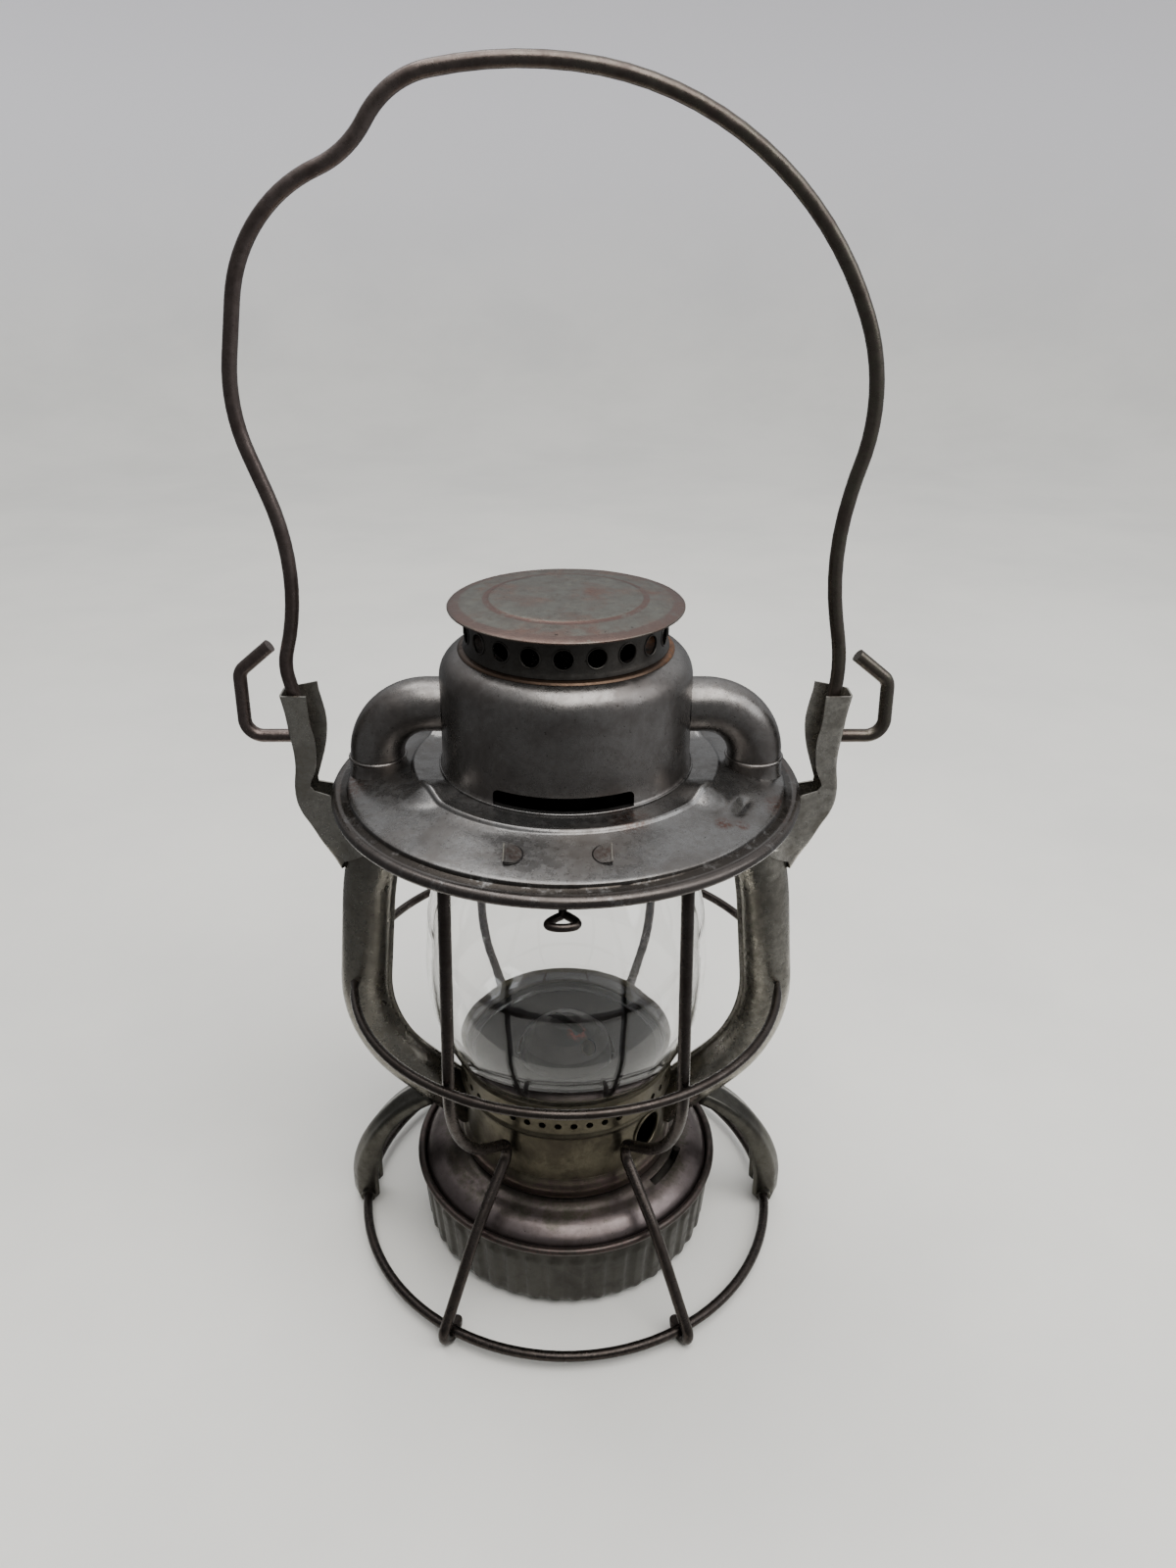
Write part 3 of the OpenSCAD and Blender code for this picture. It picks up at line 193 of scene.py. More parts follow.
class Form:
    """A mesh in the making, in millimetres."""

    def __init__(self) -> None:
        """Starts with nothing."""
        self.bm = bmesh.new()

    def spun(self, outline: Sequence[Point], steps: int = 160, centre: Point = (0.0, 0.0)) -> "Form":
        """Turns a closed outline about an upright axis.

        Args:
            outline: closed (radius, height) points.
            steps: how many steps the full turn has.
            centre: where the axis stands.

        Returns:
            This form.
        """
        at = Vector((*centre, 0))
        verts = [self.bm.verts.new(at + Vector((r, 0, z))) for r, z in outline]
        edges = [self.bm.edges.new((v, verts[i - 1])) for i, v in enumerate(verts)]
        bmesh.ops.spin(
            self.bm, geom=verts + edges, cent=at, axis=(0, 0, 1), angle=math.tau,
            steps=steps, use_merge=True, use_duplicate=False,
        )
        return self

    def swept(
        self, path: Sequence[Vector], radius: float, sides: int = 16, capped: bool = True,
        closed: bool = False, swell: Callable[[float], float] | None = None,
    ) -> "Form":
        """Sweeps a round section along a path.

        Args:
            path: the centre line.
            radius: the section's radius.
            sides: how many sides the section has.
            capped: whether flat faces close the ends.
            closed: whether the path joins its own start.
            swell: a factor on the radius by the share of the path travelled.

        Returns:
            This form.
        """
        points = list(path)
        count = len(points)
        first = self._frame(points, 0, closed, None)
        ring = bmesh.ops.create_circle(
            self.bm, cap_ends=False, segments=sides, radius=radius, matrix=first
        )["verts"]
        start_edges = list({e for v in ring for e in v.link_edges})
        edges, here, size = start_edges, first, 1.0
        for i in range(1, count):
            out = bmesh.ops.extrude_edge_only(self.bm, edges=edges)["geom"]
            verts = [g for g in out if isinstance(g, bmesh.types.BMVert)]
            edges = [g for g in out if isinstance(g, bmesh.types.BMEdge)]
            there = self._frame(points, i, closed, here)
            grown = swell(i / (count - 1)) if swell else 1.0
            scale = Matrix.Diagonal((grown / size, grown / size, 1, 1))
            bmesh.ops.transform(self.bm, matrix=there @ scale @ here.inverted(), verts=verts)
            here, size = there, grown
        if closed:
            bmesh.ops.bridge_loops(self.bm, edges=edges + start_edges)
        elif capped:
            bmesh.ops.contextual_create(self.bm, geom=start_edges)
            bmesh.ops.contextual_create(self.bm, geom=edges)
        return self

    @staticmethod
    def _frame(points: Sequence[Vector], i: int, closed: bool, last: Matrix | None) -> Matrix:
        """Places a section square to the path, turned as little as it can be from the last one."""
        count = len(points)
        before = points[i - 1] if i or closed else points[0]
        after = points[(i + 1) % count] if i < count - 1 or closed else points[i]
        along = (after - before).normalized()
        if last is None:
            turn = Vector((0, 0, 1)).rotation_difference(along).to_matrix()
        else:
            old = last.to_3x3()
            turn = (old @ Vector((0, 0, 1))).rotation_difference(along).to_matrix() @ old
        return Matrix.Translation(points[i]) @ turn.to_4x4()

    def rows(self, stations: Sequence[Sequence[Vector]], closed: bool = False) -> "Form":
        """Draws a sheet through rows of points, one row after the other.

        Args:
            stations: rows with the same number of points each.
            closed: whether each row is a loop.

        Returns:
            This form.
        """
        verts = [self.bm.verts.new(p) for p in stations[0]]
        pairs = list(zip(verts, verts[1:], strict=False))
        if closed:
            pairs.append((verts[-1], verts[0]))
        edges = [self.bm.edges.new(pair) for pair in pairs]
        for row in stations[1:]:
            out = bmesh.ops.extrude_edge_only(self.bm, edges=edges)["geom"]
            found = [g for g in out if isinstance(g, bmesh.types.BMVert)]
            edges = [g for g in out if isinstance(g, bmesh.types.BMEdge)]
            follows = {v: next(e.other_vert(v) for e in v.link_edges if e.other_vert(v) in set(verts)) for v in found}
            order = {old: new for new, old in follows.items()}
            new_verts = [order[v] for v in verts]
            for v, p in zip(new_verts, row, strict=True):
                v.co = p
            verts = new_verts
        return self

    def block(self, low: Vector, high: Vector, round_edges: float = 0.0, along: int = 1) -> "Form":
        """Adds a block between two corners, with the edges along one axis rounded.

        Args:
            low: the lowest corner.
            high: the highest corner.
            round_edges: the radius of the rounded edges, or 0.
            along: the axis that the rounded edges run along.

        Returns:
            This form.
        """
        size = high - low
        place = Matrix.Translation((low + high) / 2) @ Matrix.Diagonal((*size, 1))
        verts = bmesh.ops.create_cube(self.bm, size=1, matrix=place)["verts"]
        if round_edges:
            edges = {e for v in verts for e in v.link_edges}
            picked = [
                e for e in edges
                if abs((e.verts[0].co - e.verts[1].co)[along]) > 0.9 * size[along]
            ]
            bmesh.ops.bevel(
                self.bm, geom=picked, offset=round_edges, segments=5, profile=0.5,
                affect="EDGES", material=-1,
            )
        return self

    def drum(self, centre: Vector, along: Vector, radius: float, length: float, sides: int = 24) -> "Form":
        """Adds a round bar of a length about its centre, such as a drill for a hole."""
        turn = Vector((0, 0, 1)).rotation_difference(along).to_matrix().to_4x4()
        bmesh.ops.create_cone(
            self.bm, cap_ends=True, cap_tris=False, segments=sides, radius1=radius,
            radius2=radius, depth=length, matrix=Matrix.Translation(centre) @ turn,
        )
        return self

    def reshaped(self, move: Callable[[Vector], Vector]) -> "Form":
        """Moves every point to where a function puts it."""
        for v in self.bm.verts:
            v.co = move(v.co)
        return self

    def worn(self, depth: float, scale: float = 0.045) -> "Form":
        """Presses shallow dents into a thin shell, the same on both of its faces.

        Args:
            depth: how far the sheet moves at most.
            scale: the dents' frequency per millimetre.

        Returns:
            This form.
        """
        for v in self.bm.verts:
            push = noise.noise(v.co * scale) + 0.4 * noise.noise(v.co * scale * 2.7 + Vector((7, 3, 1)))
            out = Vector((v.co.x, v.co.y, 0.0))
            if out.length > 0.5:
                out = out.normalized() * min(1.0, out.length / 20)
            v.co += (out * 0.6 + Vector((0, 0, 0.5))) * push * depth
        return self

    def made(self, name: str, sharp: float = 38.0) -> bpy.types.Object:
        """Finishes the mesh as an object in metres.

        Args:
            name: the object's name.
            sharp: the angle in degrees past which an edge shades sharp.

        Returns:
            The new object.
        """
        bmesh.ops.remove_doubles(self.bm, verts=self.bm.verts, dist=0.0005)
        bmesh.ops.recalc_face_normals(self.bm, faces=self.bm.faces)
        bmesh.ops.scale(self.bm, vec=(MM, MM, MM), verts=self.bm.verts)
        for face in self.bm.faces:
            face.smooth = True
        mesh = bpy.data.meshes.new(name)
        self.bm.to_mesh(mesh)
        self.bm.free()
        mesh.set_sharp_from_angle(angle=math.radians(sharp))
        piece = bpy.data.objects.new(name, mesh)
        bpy.context.scene.collection.objects.link(piece)
        return piece


def bored(piece: bpy.types.Object, drills: Form, sharp: float = 38.0) -> bpy.types.Object:
    """Cuts drills out of a piece.

    Args:
        piece: the piece to cut.
        drills: the solids to take away.
        sharp: the angle in degrees past which an edge shades sharp.

    Returns:
        The same piece, with its new mesh.
    """
    tool = drills.made(piece.name + "_drills")
    cut = piece.modifiers.new("holes", "BOOLEAN")
    cut.operation = "DIFFERENCE"
    cut.solver = "EXACT"
    cut.object = tool
    bpy.context.view_layer.update()
    graph = bpy.context.evaluated_depsgraph_get()
    mesh = bpy.data.meshes.new_from_object(piece.evaluated_get(graph))
    piece.modifiers.clear()
    piece.data = mesh
    bpy.data.objects.remove(tool)
    for polygon in mesh.polygons:
        polygon.use_smooth = True
    mesh.set_sharp_from_angle(angle=math.radians(sharp))
    return piece


def thickened(piece: bpy.types.Object, sheet: float, offset: float = -1.0) -> bpy.types.Object:
    """Gives a single sheet its thickness in millimetres."""
    wall = piece.modifiers.new("sheet", "SOLIDIFY")
    wall.thickness = sheet * MM
    wall.offset = offset
    wall.use_even_offset = True
    return piece


# Shader groups

Socket = bpy.types.NodeSocket
Tree = bpy.types.NodeTree


def group_tree(name: str, inputs: dict[str, float], outputs: Sequence[str]) -> tuple[Tree, bpy.types.Node, bpy.types.Node]:
    """Starts a shader group with number inputs and outputs.

    Args:
        name: the group's name.
        inputs: each input's name and its value at first.
        outputs: the outputs' names.

    Returns:
        The tree and its input and output nodes.
    """
    tree = bpy.data.node_groups.new(name, "ShaderNodeTree")
    for label, value in inputs.items():
        socket = tree.interface.new_socket(label, in_out="INPUT", socket_type="NodeSocketFloat")
        socket.default_value = value
    for label in outputs:
        tree.interface.new_socket(label, in_out="OUTPUT", socket_type="NodeSocketFloat")
    return tree, tree.nodes.new("NodeGroupInput"), tree.nodes.new("NodeGroupOutput")


def noise_at(tree: Tree, scale: float | Socket, detail: float, rough: float, warp: float = 0.0) -> Socket:
    """Adds noise on Object coordinates and returns its value."""
    place = tree.nodes.new("ShaderNodeTexCoord")
    cloud = tree.nodes.new("ShaderNodeTexNoise")
    cloud.inputs["Detail"].default_value = detail
    cloud.inputs["Roughness"].default_value = rough
    cloud.inputs["Distortion"].default_value = warp
    tree.links.new(place.outputs["Object"], cloud.inputs["Vector"])
    if isinstance(scale, bpy.types.NodeSocket):
        tree.links.new(scale, cloud.inputs["Scale"])
    else:
        cloud.inputs["Scale"].default_value = scale
    return cloud.outputs["Fac"]


def mapped(tree: Tree, value: Socket, low: float, high: float, bottom: float = 0.0, top: float = 1.0) -> Socket:
    """Maps a value smoothly from one range to another."""
    node = tree.nodes.new("ShaderNodeMapRange")
    node.interpolation_type = "SMOOTHSTEP"
    for label, number in (("From Min", low), ("From Max", high), ("To Min", bottom), ("To Max", top)):
        node.inputs[label].default_value = number
    tree.links.new(value, node.inputs["Value"])
    return node.outputs["Result"]


def joined(tree: Tree, kind: str, a: Socket | float, b: Socket | float) -> Socket:
    """Adds a math node of a kind between two values."""
    node = tree.nodes.new("ShaderNodeMath")
    node.operation = kind
    for socket, value in zip(node.inputs, (a, b), strict=False):
        if isinstance(value, bpy.types.NodeSocket):
            tree.links.new(value, socket)
        else:
            socket.default_value = value
    return node.outputs["Value"]


def tarnish_group() -> Tree:
    """Builds the group for tarnish: broad stains, fine mottling, small blotches and dark pits."""
    tree, given, out = group_tree(
        "Tarnish", {"Scale": 1.0, "Amount": 1.0}, ("Stain", "Mottle", "Blotch", "Pits")
    )
    for label, scale, detail, rough, low, high in (
        ("Stain", 48.0, 6.0, 0.66, 0.44, 0.66), ("Mottle", 420.0, 5.0, 0.72, 0.40, 0.62),
        ("Blotch", 170.0, 6.0, 0.70, 0.52, 0.70), ("Pits", 900.0, 3.0, 0.6, 0.64, 0.74),
    ):
        cloud = noise_at(tree, joined(tree, "MULTIPLY", given.outputs["Scale"], scale), detail, rough, 0.4)
        mask = joined(tree, "MULTIPLY", mapped(tree, cloud, low, high), given.outputs["Amount"])
        tree.links.new(mask, out.inputs[label])
    return tree


def grain_group() -> Tree:
    """Builds the group for the metal's skin: fine grain and the soft waves of hammered sheet."""
    tree, given, out = group_tree("Metal skin", {"Grain": 1.0, "Waves": 1.0}, ("Height", "Speckle"))
    fine = noise_at(tree, 1500.0, 4.0, 0.7)
    middle = noise_at(tree, 340.0, 5.0, 0.65)
    waves = noise_at(tree, 38.0, 2.0, 0.5)
    height = joined(tree, "MULTIPLY", joined(tree, "ADD", fine, joined(tree, "MULTIPLY", middle, 1.6)), given.outputs["Grain"])
    wavy = joined(tree, "MULTIPLY", joined(tree, "MULTIPLY", waves, 14.0), given.outputs["Waves"])
    tree.links.new(joined(tree, "ADD", height, wavy), out.inputs["Height"])
    tree.links.new(mapped(tree, middle, 0.35, 0.75), out.inputs["Speckle"])
    return tree


@dataclass(frozen=True)
class Drift:
    """A second colour that takes over along a direction. Some drifts are real tints, such as a bead's own colour.
    Others are painted light and shade, such as the lighter right side of the tubes and ears and the darker feet of the
    wires.
    """

    along: tuple[float, float, float]
    start: float
    end: float
    colour: tuple[float, float, float]


@dataclass(frozen=True)
class Spot:
    """A patch of a second colour about a place, in millimetres."""

    place: tuple[float, float, float]
    radius: float
    colour: tuple[float, float, float] = (0.110, 0.058, 0.046)


@dataclass(frozen=True)
class Ring:
    """A ring of a second colour about the lantern's axis, in millimetres."""

    radius: float
    width: float
    colour: tuple[float, float, float]


@dataclass(frozen=True)
class MetalFinish:
    """An old metal surface: its clean, stained and worn colours, its drift of a second colour (painted light and shade
    on some finishes), and how it takes light.
    """

    name: str
    clean: tuple[float, float, float]
    stain: tuple[float, float, float]
    blotch: tuple[float, float, float]
    pit: tuple[float, float, float] = (0.020, 0.015, 0.012)
    scale: float = 1.0
    amount: float = 0.9
    rough: tuple[float, float] = (0.24, 0.46)
    metallic: float = 0.92
    grain: float = 0.35
    waves: float = 0.3
    drift: Drift | None = None
    spots: tuple[Spot, ...] = ()
    rings: tuple[Ring, ...] = ()

    def made(self, groups: dict[str, Tree]) -> bpy.types.Material:
        """Builds the material from the shared groups."""
        material = bpy.data.materials.new(self.name)
        material.use_nodes = True
        tree = material.node_tree
        shader = tree.nodes["Principled BSDF"]
        tarnish = tree.nodes.new("ShaderNodeGroup")
        tarnish.node_tree = groups["tarnish"]
        tarnish.inputs["Scale"].default_value = self.scale
        tarnish.inputs["Amount"].default_value = self.amount
        skin = tree.nodes.new("ShaderNodeGroup")
        skin.node_tree = groups["grain"]
        skin.inputs["Grain"].default_value = self.grain
        skin.inputs["Waves"].default_value = self.waves
        colour: Socket | tuple[float, float, float] = self.clean
        if self.drift:
            colour = tinted(tree, self._drifted(tree, self.drift), colour, self.drift.colour)
        for mask, tint in (
            (tarnish.outputs["Mottle"], tuple((a + b) / 2 for a, b in zip(self.clean, self.blotch, strict=True))),
            (tarnish.outputs["Stain"], self.stain),
            (tarnish.outputs["Blotch"], self.blotch),
            (tarnish.outputs["Pits"], self.pit),
        ):
            strength = joined(tree, "MULTIPLY", mask, 0.75 if self.drift else 1.0)
            colour = tinted(tree, strength, colour, tint)
        for spot in self.spots:
            colour = tinted(tree, self._spotted(tree, spot), colour, spot.colour)
        for ring in self.rings:
            colour = tinted(tree, self._ringed(tree, ring), colour, ring.colour)
        tree.links.new(colour, shader.inputs["Base Color"])
        low, high = self.rough
        dull = joined(tree, "ADD", joined(tree, "MULTIPLY", tarnish.outputs["Stain"], 0.35),
                      joined(tree, "MULTIPLY", skin.outputs["Speckle"], 0.65))
        tree.links.new(mapped(tree, dull, 0.0, 1.0, low, high), shader.inputs["Roughness"])
        shader.inputs["Metallic"].default_value = self.metallic
        bump = tree.nodes.new("ShaderNodeBump")
        bump.inputs["Strength"].default_value = 0.4
        bump.inputs["Distance"].default_value = 0.0002
        tree.links.new(skin.outputs["Height"], bump.inputs["Height"])
        tree.links.new(bump.outputs["Normal"], shader.inputs["Normal"])
        return material

    @staticmethod
    def _drifted(tree: Tree, drift: Drift) -> Socket:
        """Gives the mask of a drift, with a ragged edge."""
        place = tree.nodes.new("ShaderNodeTexCoord")
        dot = tree.nodes.new("ShaderNodeVectorMath")
        dot.operation = "DOT_PRODUCT"
        tree.links.new(place.outputs["Object"], dot.inputs[0])
        dot.inputs[1].default_value = drift.along
        ragged = joined(tree, "MULTIPLY", joined(tree, "SUBTRACT", noise_at(tree, 120.0, 5.0, 0.65), 0.5), 0.012)
        along = joined(tree, "ADD", dot.outputs["Value"], ragged)
        return mapped(tree, along, drift.start * MM, drift.end * MM)

    @staticmethod
    def _spotted(tree: Tree, spot: Spot) -> Socket:
        """Gives the mask of a spot, broken up by noise."""
        place = tree.nodes.new("ShaderNodeTexCoord")
        away = tree.nodes.new("ShaderNodeVectorMath")
        away.operation = "DISTANCE"
        tree.links.new(place.outputs["Object"], away.inputs[0])
        away.inputs[1].default_value = tuple(c * MM for c in spot.place)
        near = mapped(tree, away.outputs["Value"], 0.3 * spot.radius * MM, spot.radius * MM, 1.0, 0.0)
        broken = mapped(tree, noise_at(tree, 650.0, 4.0, 0.7), 0.36, 0.60)
        return joined(tree, "MULTIPLY", near, broken)


    @staticmethod
    def _ringed(tree: Tree, ring: Ring) -> Socket:
        """Gives the mask of a ring, broken up by noise."""
        place = tree.nodes.new("ShaderNodeTexCoord")
        flat = tree.nodes.new("ShaderNodeVectorMath")
        flat.operation = "MULTIPLY"
        tree.links.new(place.outputs["Object"], flat.inputs[0])
        flat.inputs[1].default_value = (1.0, 1.0, 0.0)
        away = tree.nodes.new("ShaderNodeVectorMath")
        away.operation = "LENGTH"
        tree.links.new(flat.outputs["Vector"], away.inputs[0])
        offset = joined(tree, "SUBTRACT", away.outputs["Value"], ring.radius * MM)
        gap = joined(tree, "MAXIMUM", offset, joined(tree, "MULTIPLY", offset, -1.0))
        near = mapped(tree, gap, 0.35 * ring.width * MM, 0.6 * ring.width * MM, 1.0, 0.0)
        broken = mapped(tree, noise_at(tree, 260.0, 5.0, 0.7), 0.28, 0.48)
        return joined(tree, "MULTIPLY", near, broken)


def tinted(tree: Tree, mask: Socket, under: Socket | tuple[float, float, float],
           over: tuple[float, float, float]) -> Socket:
    """Lays a colour over another where a mask is."""
    mix = tree.nodes.new("ShaderNodeMix")
    mix.data_type = "RGBA"
    tree.links.new(mask, mix.inputs[0])
    if isinstance(under, bpy.types.NodeSocket):
        tree.links.new(under, mix.inputs[6])
    else:
        mix.inputs[6].default_value = (*under, 1)
    mix.inputs[7].default_value = (*over, 1)
    return mix.outputs[2]


@dataclass
class Finishes:
    """All the lantern's finishes, built once."""

    groups: dict[str, Tree] = field(default_factory=dict)
    made: dict[str, bpy.types.Material] = field(default_factory=dict)

    METALS = (
        MetalFinish(
            "plate tin", (0.190, 0.185, 0.180), (0.118, 0.108, 0.100), (0.138, 0.128, 0.120), rough=(0.24, 0.44),
            spots=(
                Spot((50.0, -42.0, 202.6), 4.2), Spot((56.0, -41.5, 202.0), 3.6), Spot((73.0, -27.0, 198.5), 11.0),
                Spot((77.0, 8.0, 198.2), 10.0), Spot((-76.0, -12.0, 198.2), 15.0, (0.105, 0.070, 0.058)),
                Spot((-16.0, -62.0, 202.3), 5.0, (0.092, 0.068, 0.060)),
                Spot((11.5, -62.0, 202.3), 5.0, (0.092, 0.068, 0.060)),
                Spot((20.0, -45.0, 205.4), 9.0, (0.110, 0.075, 0.062)),
            ),
            # Two dark rings: one along the step below the plate's edge, one over the rolled rim.
            rings=(Ring(76.5, 3.0, (0.040, 0.034, 0.029)), Ring(79.9, 3.8, (0.092, 0.080, 0.073))),
        ),
        MetalFinish("drum tin", (0.212, 0.200, 0.190), (0.132, 0.118, 0.109), (0.155, 0.141, 0.131),
                    rough=(0.26, 0.44)),
        # Painted light: the tube and ear tins turn lighter towards +X, standing in for the brighter surroundings on the
        # right.
        MetalFinish("tube tin", (0.225, 0.211, 0.180), (0.130, 0.117, 0.097), (0.165, 0.150, 0.124),
                    rough=(0.26, 0.46), drift=Drift((1.0, 0.0, 0.0), -30.0, 75.0, (0.345, 0.324, 0.276))),
        MetalFinish("ear tin", (0.380, 0.362, 0.320), (0.200, 0.182, 0.152), (0.270, 0.248, 0.210),
                    scale=1.5, rough=(0.26, 0.46),
                    drift=Drift((1.0, 0.0, 0.0), -30.0, 75.0, (0.560, 0.530, 0.466))),
        MetalFinish("cap tin", (0.170, 0.165, 0.142), (0.150, 0.086, 0.069), (0.120, 0.100, 0.083),
                    scale=0.8, rough=(0.34, 0.56),
                    rings=(Ring(26.2, 2.2, (0.140, 0.086, 0.072)), Ring(36.8, 4.0, (0.138, 0.094, 0.080)))),
        MetalFinish("dark tin", (0.072, 0.067, 0.060), (0.042, 0.036, 0.031), (0.052, 0.046, 0.040),
                    rough=(0.32, 0.54)),
        # Soot tin carries a small red patch 90 mm up, near the axis.
        MetalFinish("soot tin", (0.022, 0.020, 0.019), (0.010, 0.009, 0.008), (0.014, 0.013, 0.012),
                    rough=(0.40, 0.62), spots=(Spot((4.0, -6.0, 90.0), 5.0, (0.20, 0.03, 0.025)),)),
        MetalFinish("yellow tin", (0.110, 0.098, 0.067), (0.050, 0.041, 0.030), (0.070, 0.058, 0.040),
                    scale=1.3, rough=(0.30, 0.50),
                    drift=Drift((0.0, 0.0, -1.0), -49.5, -45.5, (0.088, 0.060, 0.057))),
        # Painted shade and painted reflection: plum tin turns dark olive above 37 to 39 mm, on the bell's flat band
        # beside the collar.
        MetalFinish("plum tin", (0.142, 0.116, 0.112), (0.084, 0.066, 0.061), (0.108, 0.087, 0.081),
                    scale=1.2, rough=(0.30, 0.48),
                    drift=Drift((0.0, 0.0, 1.0), 37.2, 38.8, (0.082, 0.075, 0.060))),
        # Heat brown turns orange towards the right-back of the neck ring.
        MetalFinish("heat brown", (0.085, 0.055, 0.038), (0.040, 0.027, 0.020), (0.065, 0.042, 0.028),
                    scale=1.6, rough=(0.34, 0.55),
                    drift=Drift((0.75, 0.65, 0.0), 6.0, 26.0, (0.400, 0.160, 0.050))),
        MetalFinish("fount tin", (0.060, 0.058, 0.051), (0.036, 0.032, 0.028), (0.046, 0.042, 0.036),
                    scale=1.2, rough=(0.36, 0.54),
                    drift=Drift((0.0, 0.0, 1.0), 29.5, 31.5, (0.084, 0.061, 0.056))),
        MetalFinish("strap tin", (0.078, 0.075, 0.064), (0.044, 0.040, 0.034), (0.058, 0.053, 0.044),
                    scale=1.6, rough=(0.28, 0.48)),
        # Painted shade: brown wire turns darker below 9 to 15 mm, on the foot ring and the wire feet near the floor.
        MetalFinish("brown wire", (0.068, 0.057, 0.051), (0.036, 0.028, 0.024), (0.048, 0.038, 0.032),
                    scale=2.0, rough=(0.26, 0.46), waves=0.0, grain=0.6,
                    drift=Drift((0.0, 0.0, -1.0), -15.0, -9.0, (0.028, 0.024, 0.022))),
        MetalFinish("bail wire", (0.150, 0.120, 0.110), (0.076, 0.057, 0.051), (0.100, 0.079, 0.068),
                    scale=1.8, rough=(0.26, 0.46), waves=0.0, grain=0.5,
                    drift=Drift((1.0, 0.0, 0.0), -90.0, 90.0, (0.118, 0.110, 0.086))),
        MetalFinish("old brass", (0.180, 0.135, 0.070), (0.080, 0.055, 0.032), (0.115, 0.082, 0.044),
                    scale=1.6, rough=(0.3, 0.5)),
    )

    def build(self) -> None:
        """Makes every material."""
        self.groups = {"tarnish": tarnish_group(), "grain": grain_group()}
        for finish in self.METALS:
            self.made[finish.name] = finish.made(self.groups)
        self.made["globe glass"] = self._glass()
        self.made["wick cotton"] = self._cotton()

    def _glass(self) -> bpy.types.Material:
        """Builds clear old glass with soft waves."""
        material = bpy.data.materials.new("globe glass")
        material.use_nodes = True
        tree = material.node_tree
        shader = tree.nodes["Principled BSDF"]
        shader.inputs["Base Color"].default_value = (1.0, 1.0, 0.995, 1)
        shader.inputs["Transmission Weight"].default_value = 1.0
        shader.inputs["Roughness"].default_value = 0.015
        shader.inputs["IOR"].default_value = 1.48
        shader.inputs["Specular IOR Level"].default_value = 0.25
        bump = tree.nodes.new("ShaderNodeBump")
        bump.inputs["Strength"].default_value = 0.12
        bump.inputs["Distance"].default_value = 0.0006
        tree.links.new(noise_at(tree, 42.0, 2.0, 0.5), bump.inputs["Height"])
        tree.links.new(bump.outputs["Normal"], shader.inputs["Normal"])
        return material

    def _cotton(self) -> bpy.types.Material:
        """Builds the wick's woven cotton, charred along its top."""
        material = bpy.data.materials.new("wick cotton")
        material.use_nodes = True
        tree = material.node_tree
        shader = tree.nodes["Principled BSDF"]
        place = tree.nodes.new("ShaderNodeTexCoord")
        split = tree.nodes.new("ShaderNodeSeparateXYZ")
        tree.links.new(place.outputs["Object"], split.inputs["Vector"])
        char = mapped(tree, split.outputs["Z"], 0.0845, 0.0885)
        ribs = tree.nodes.new("ShaderNodeTexWave")
        ribs.bands_direction = "Z"
        ribs.inputs["Scale"].default_value = 900.0
        tree.links.new(place.outputs["Object"], ribs.inputs["Vector"])
        cloth = tinted(tree, ribs.outputs["Fac"], (0.42, 0.38, 0.30), (0.62, 0.58, 0.48))
        tree.links.new(tinted(tree, char, cloth, (0.015, 0.013, 0.012)), shader.inputs["Base Color"])
        shader.inputs["Roughness"].default_value = 0.92
        bump = tree.nodes.new("ShaderNodeBump")
        bump.inputs["Distance"].default_value = 0.0002
        tree.links.new(ribs.outputs["Fac"], bump.inputs["Height"])
        tree.links.new(bump.outputs["Normal"], shader.inputs["Normal"])
        return material

    def on_node(self, node: str, finish: str) -> None:
        """Gives a CAD node that stays in view its finish."""
        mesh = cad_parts[node].data
        mesh.materials.clear()
        mesh.materials.append(self.made[finish])


@dataclass
class Assembly:
    """Shared by the sub-assemblies: dresses a piece and says what it rides on and stands for."""

    finishes: Finishes
    count: int = 0

    def dress(
        self, piece: bpy.types.Object, finish: str, body: Body, slot: str, nodes: Sequence[str] = (),
    ) -> bpy.types.Object:
        """Gives a piece its finish, its body and its place in the frame.

        Args:
            piece: the finished piece.
            finish: the finish's name.
            body: the body that it rides on.
            slot: the record's material slot. It is not used.
            nodes: the CAD nodes that it stands for.

        Returns:
            The same piece.
        """
        piece.data.materials.clear()
        piece.data.materials.append(self.finishes.made[finish])
        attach(piece, body.value)
        if nodes:
            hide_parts(*nodes)
        self.count += 1
        LOG.info("%s rides on %s", piece.name, body.value)
        return piece


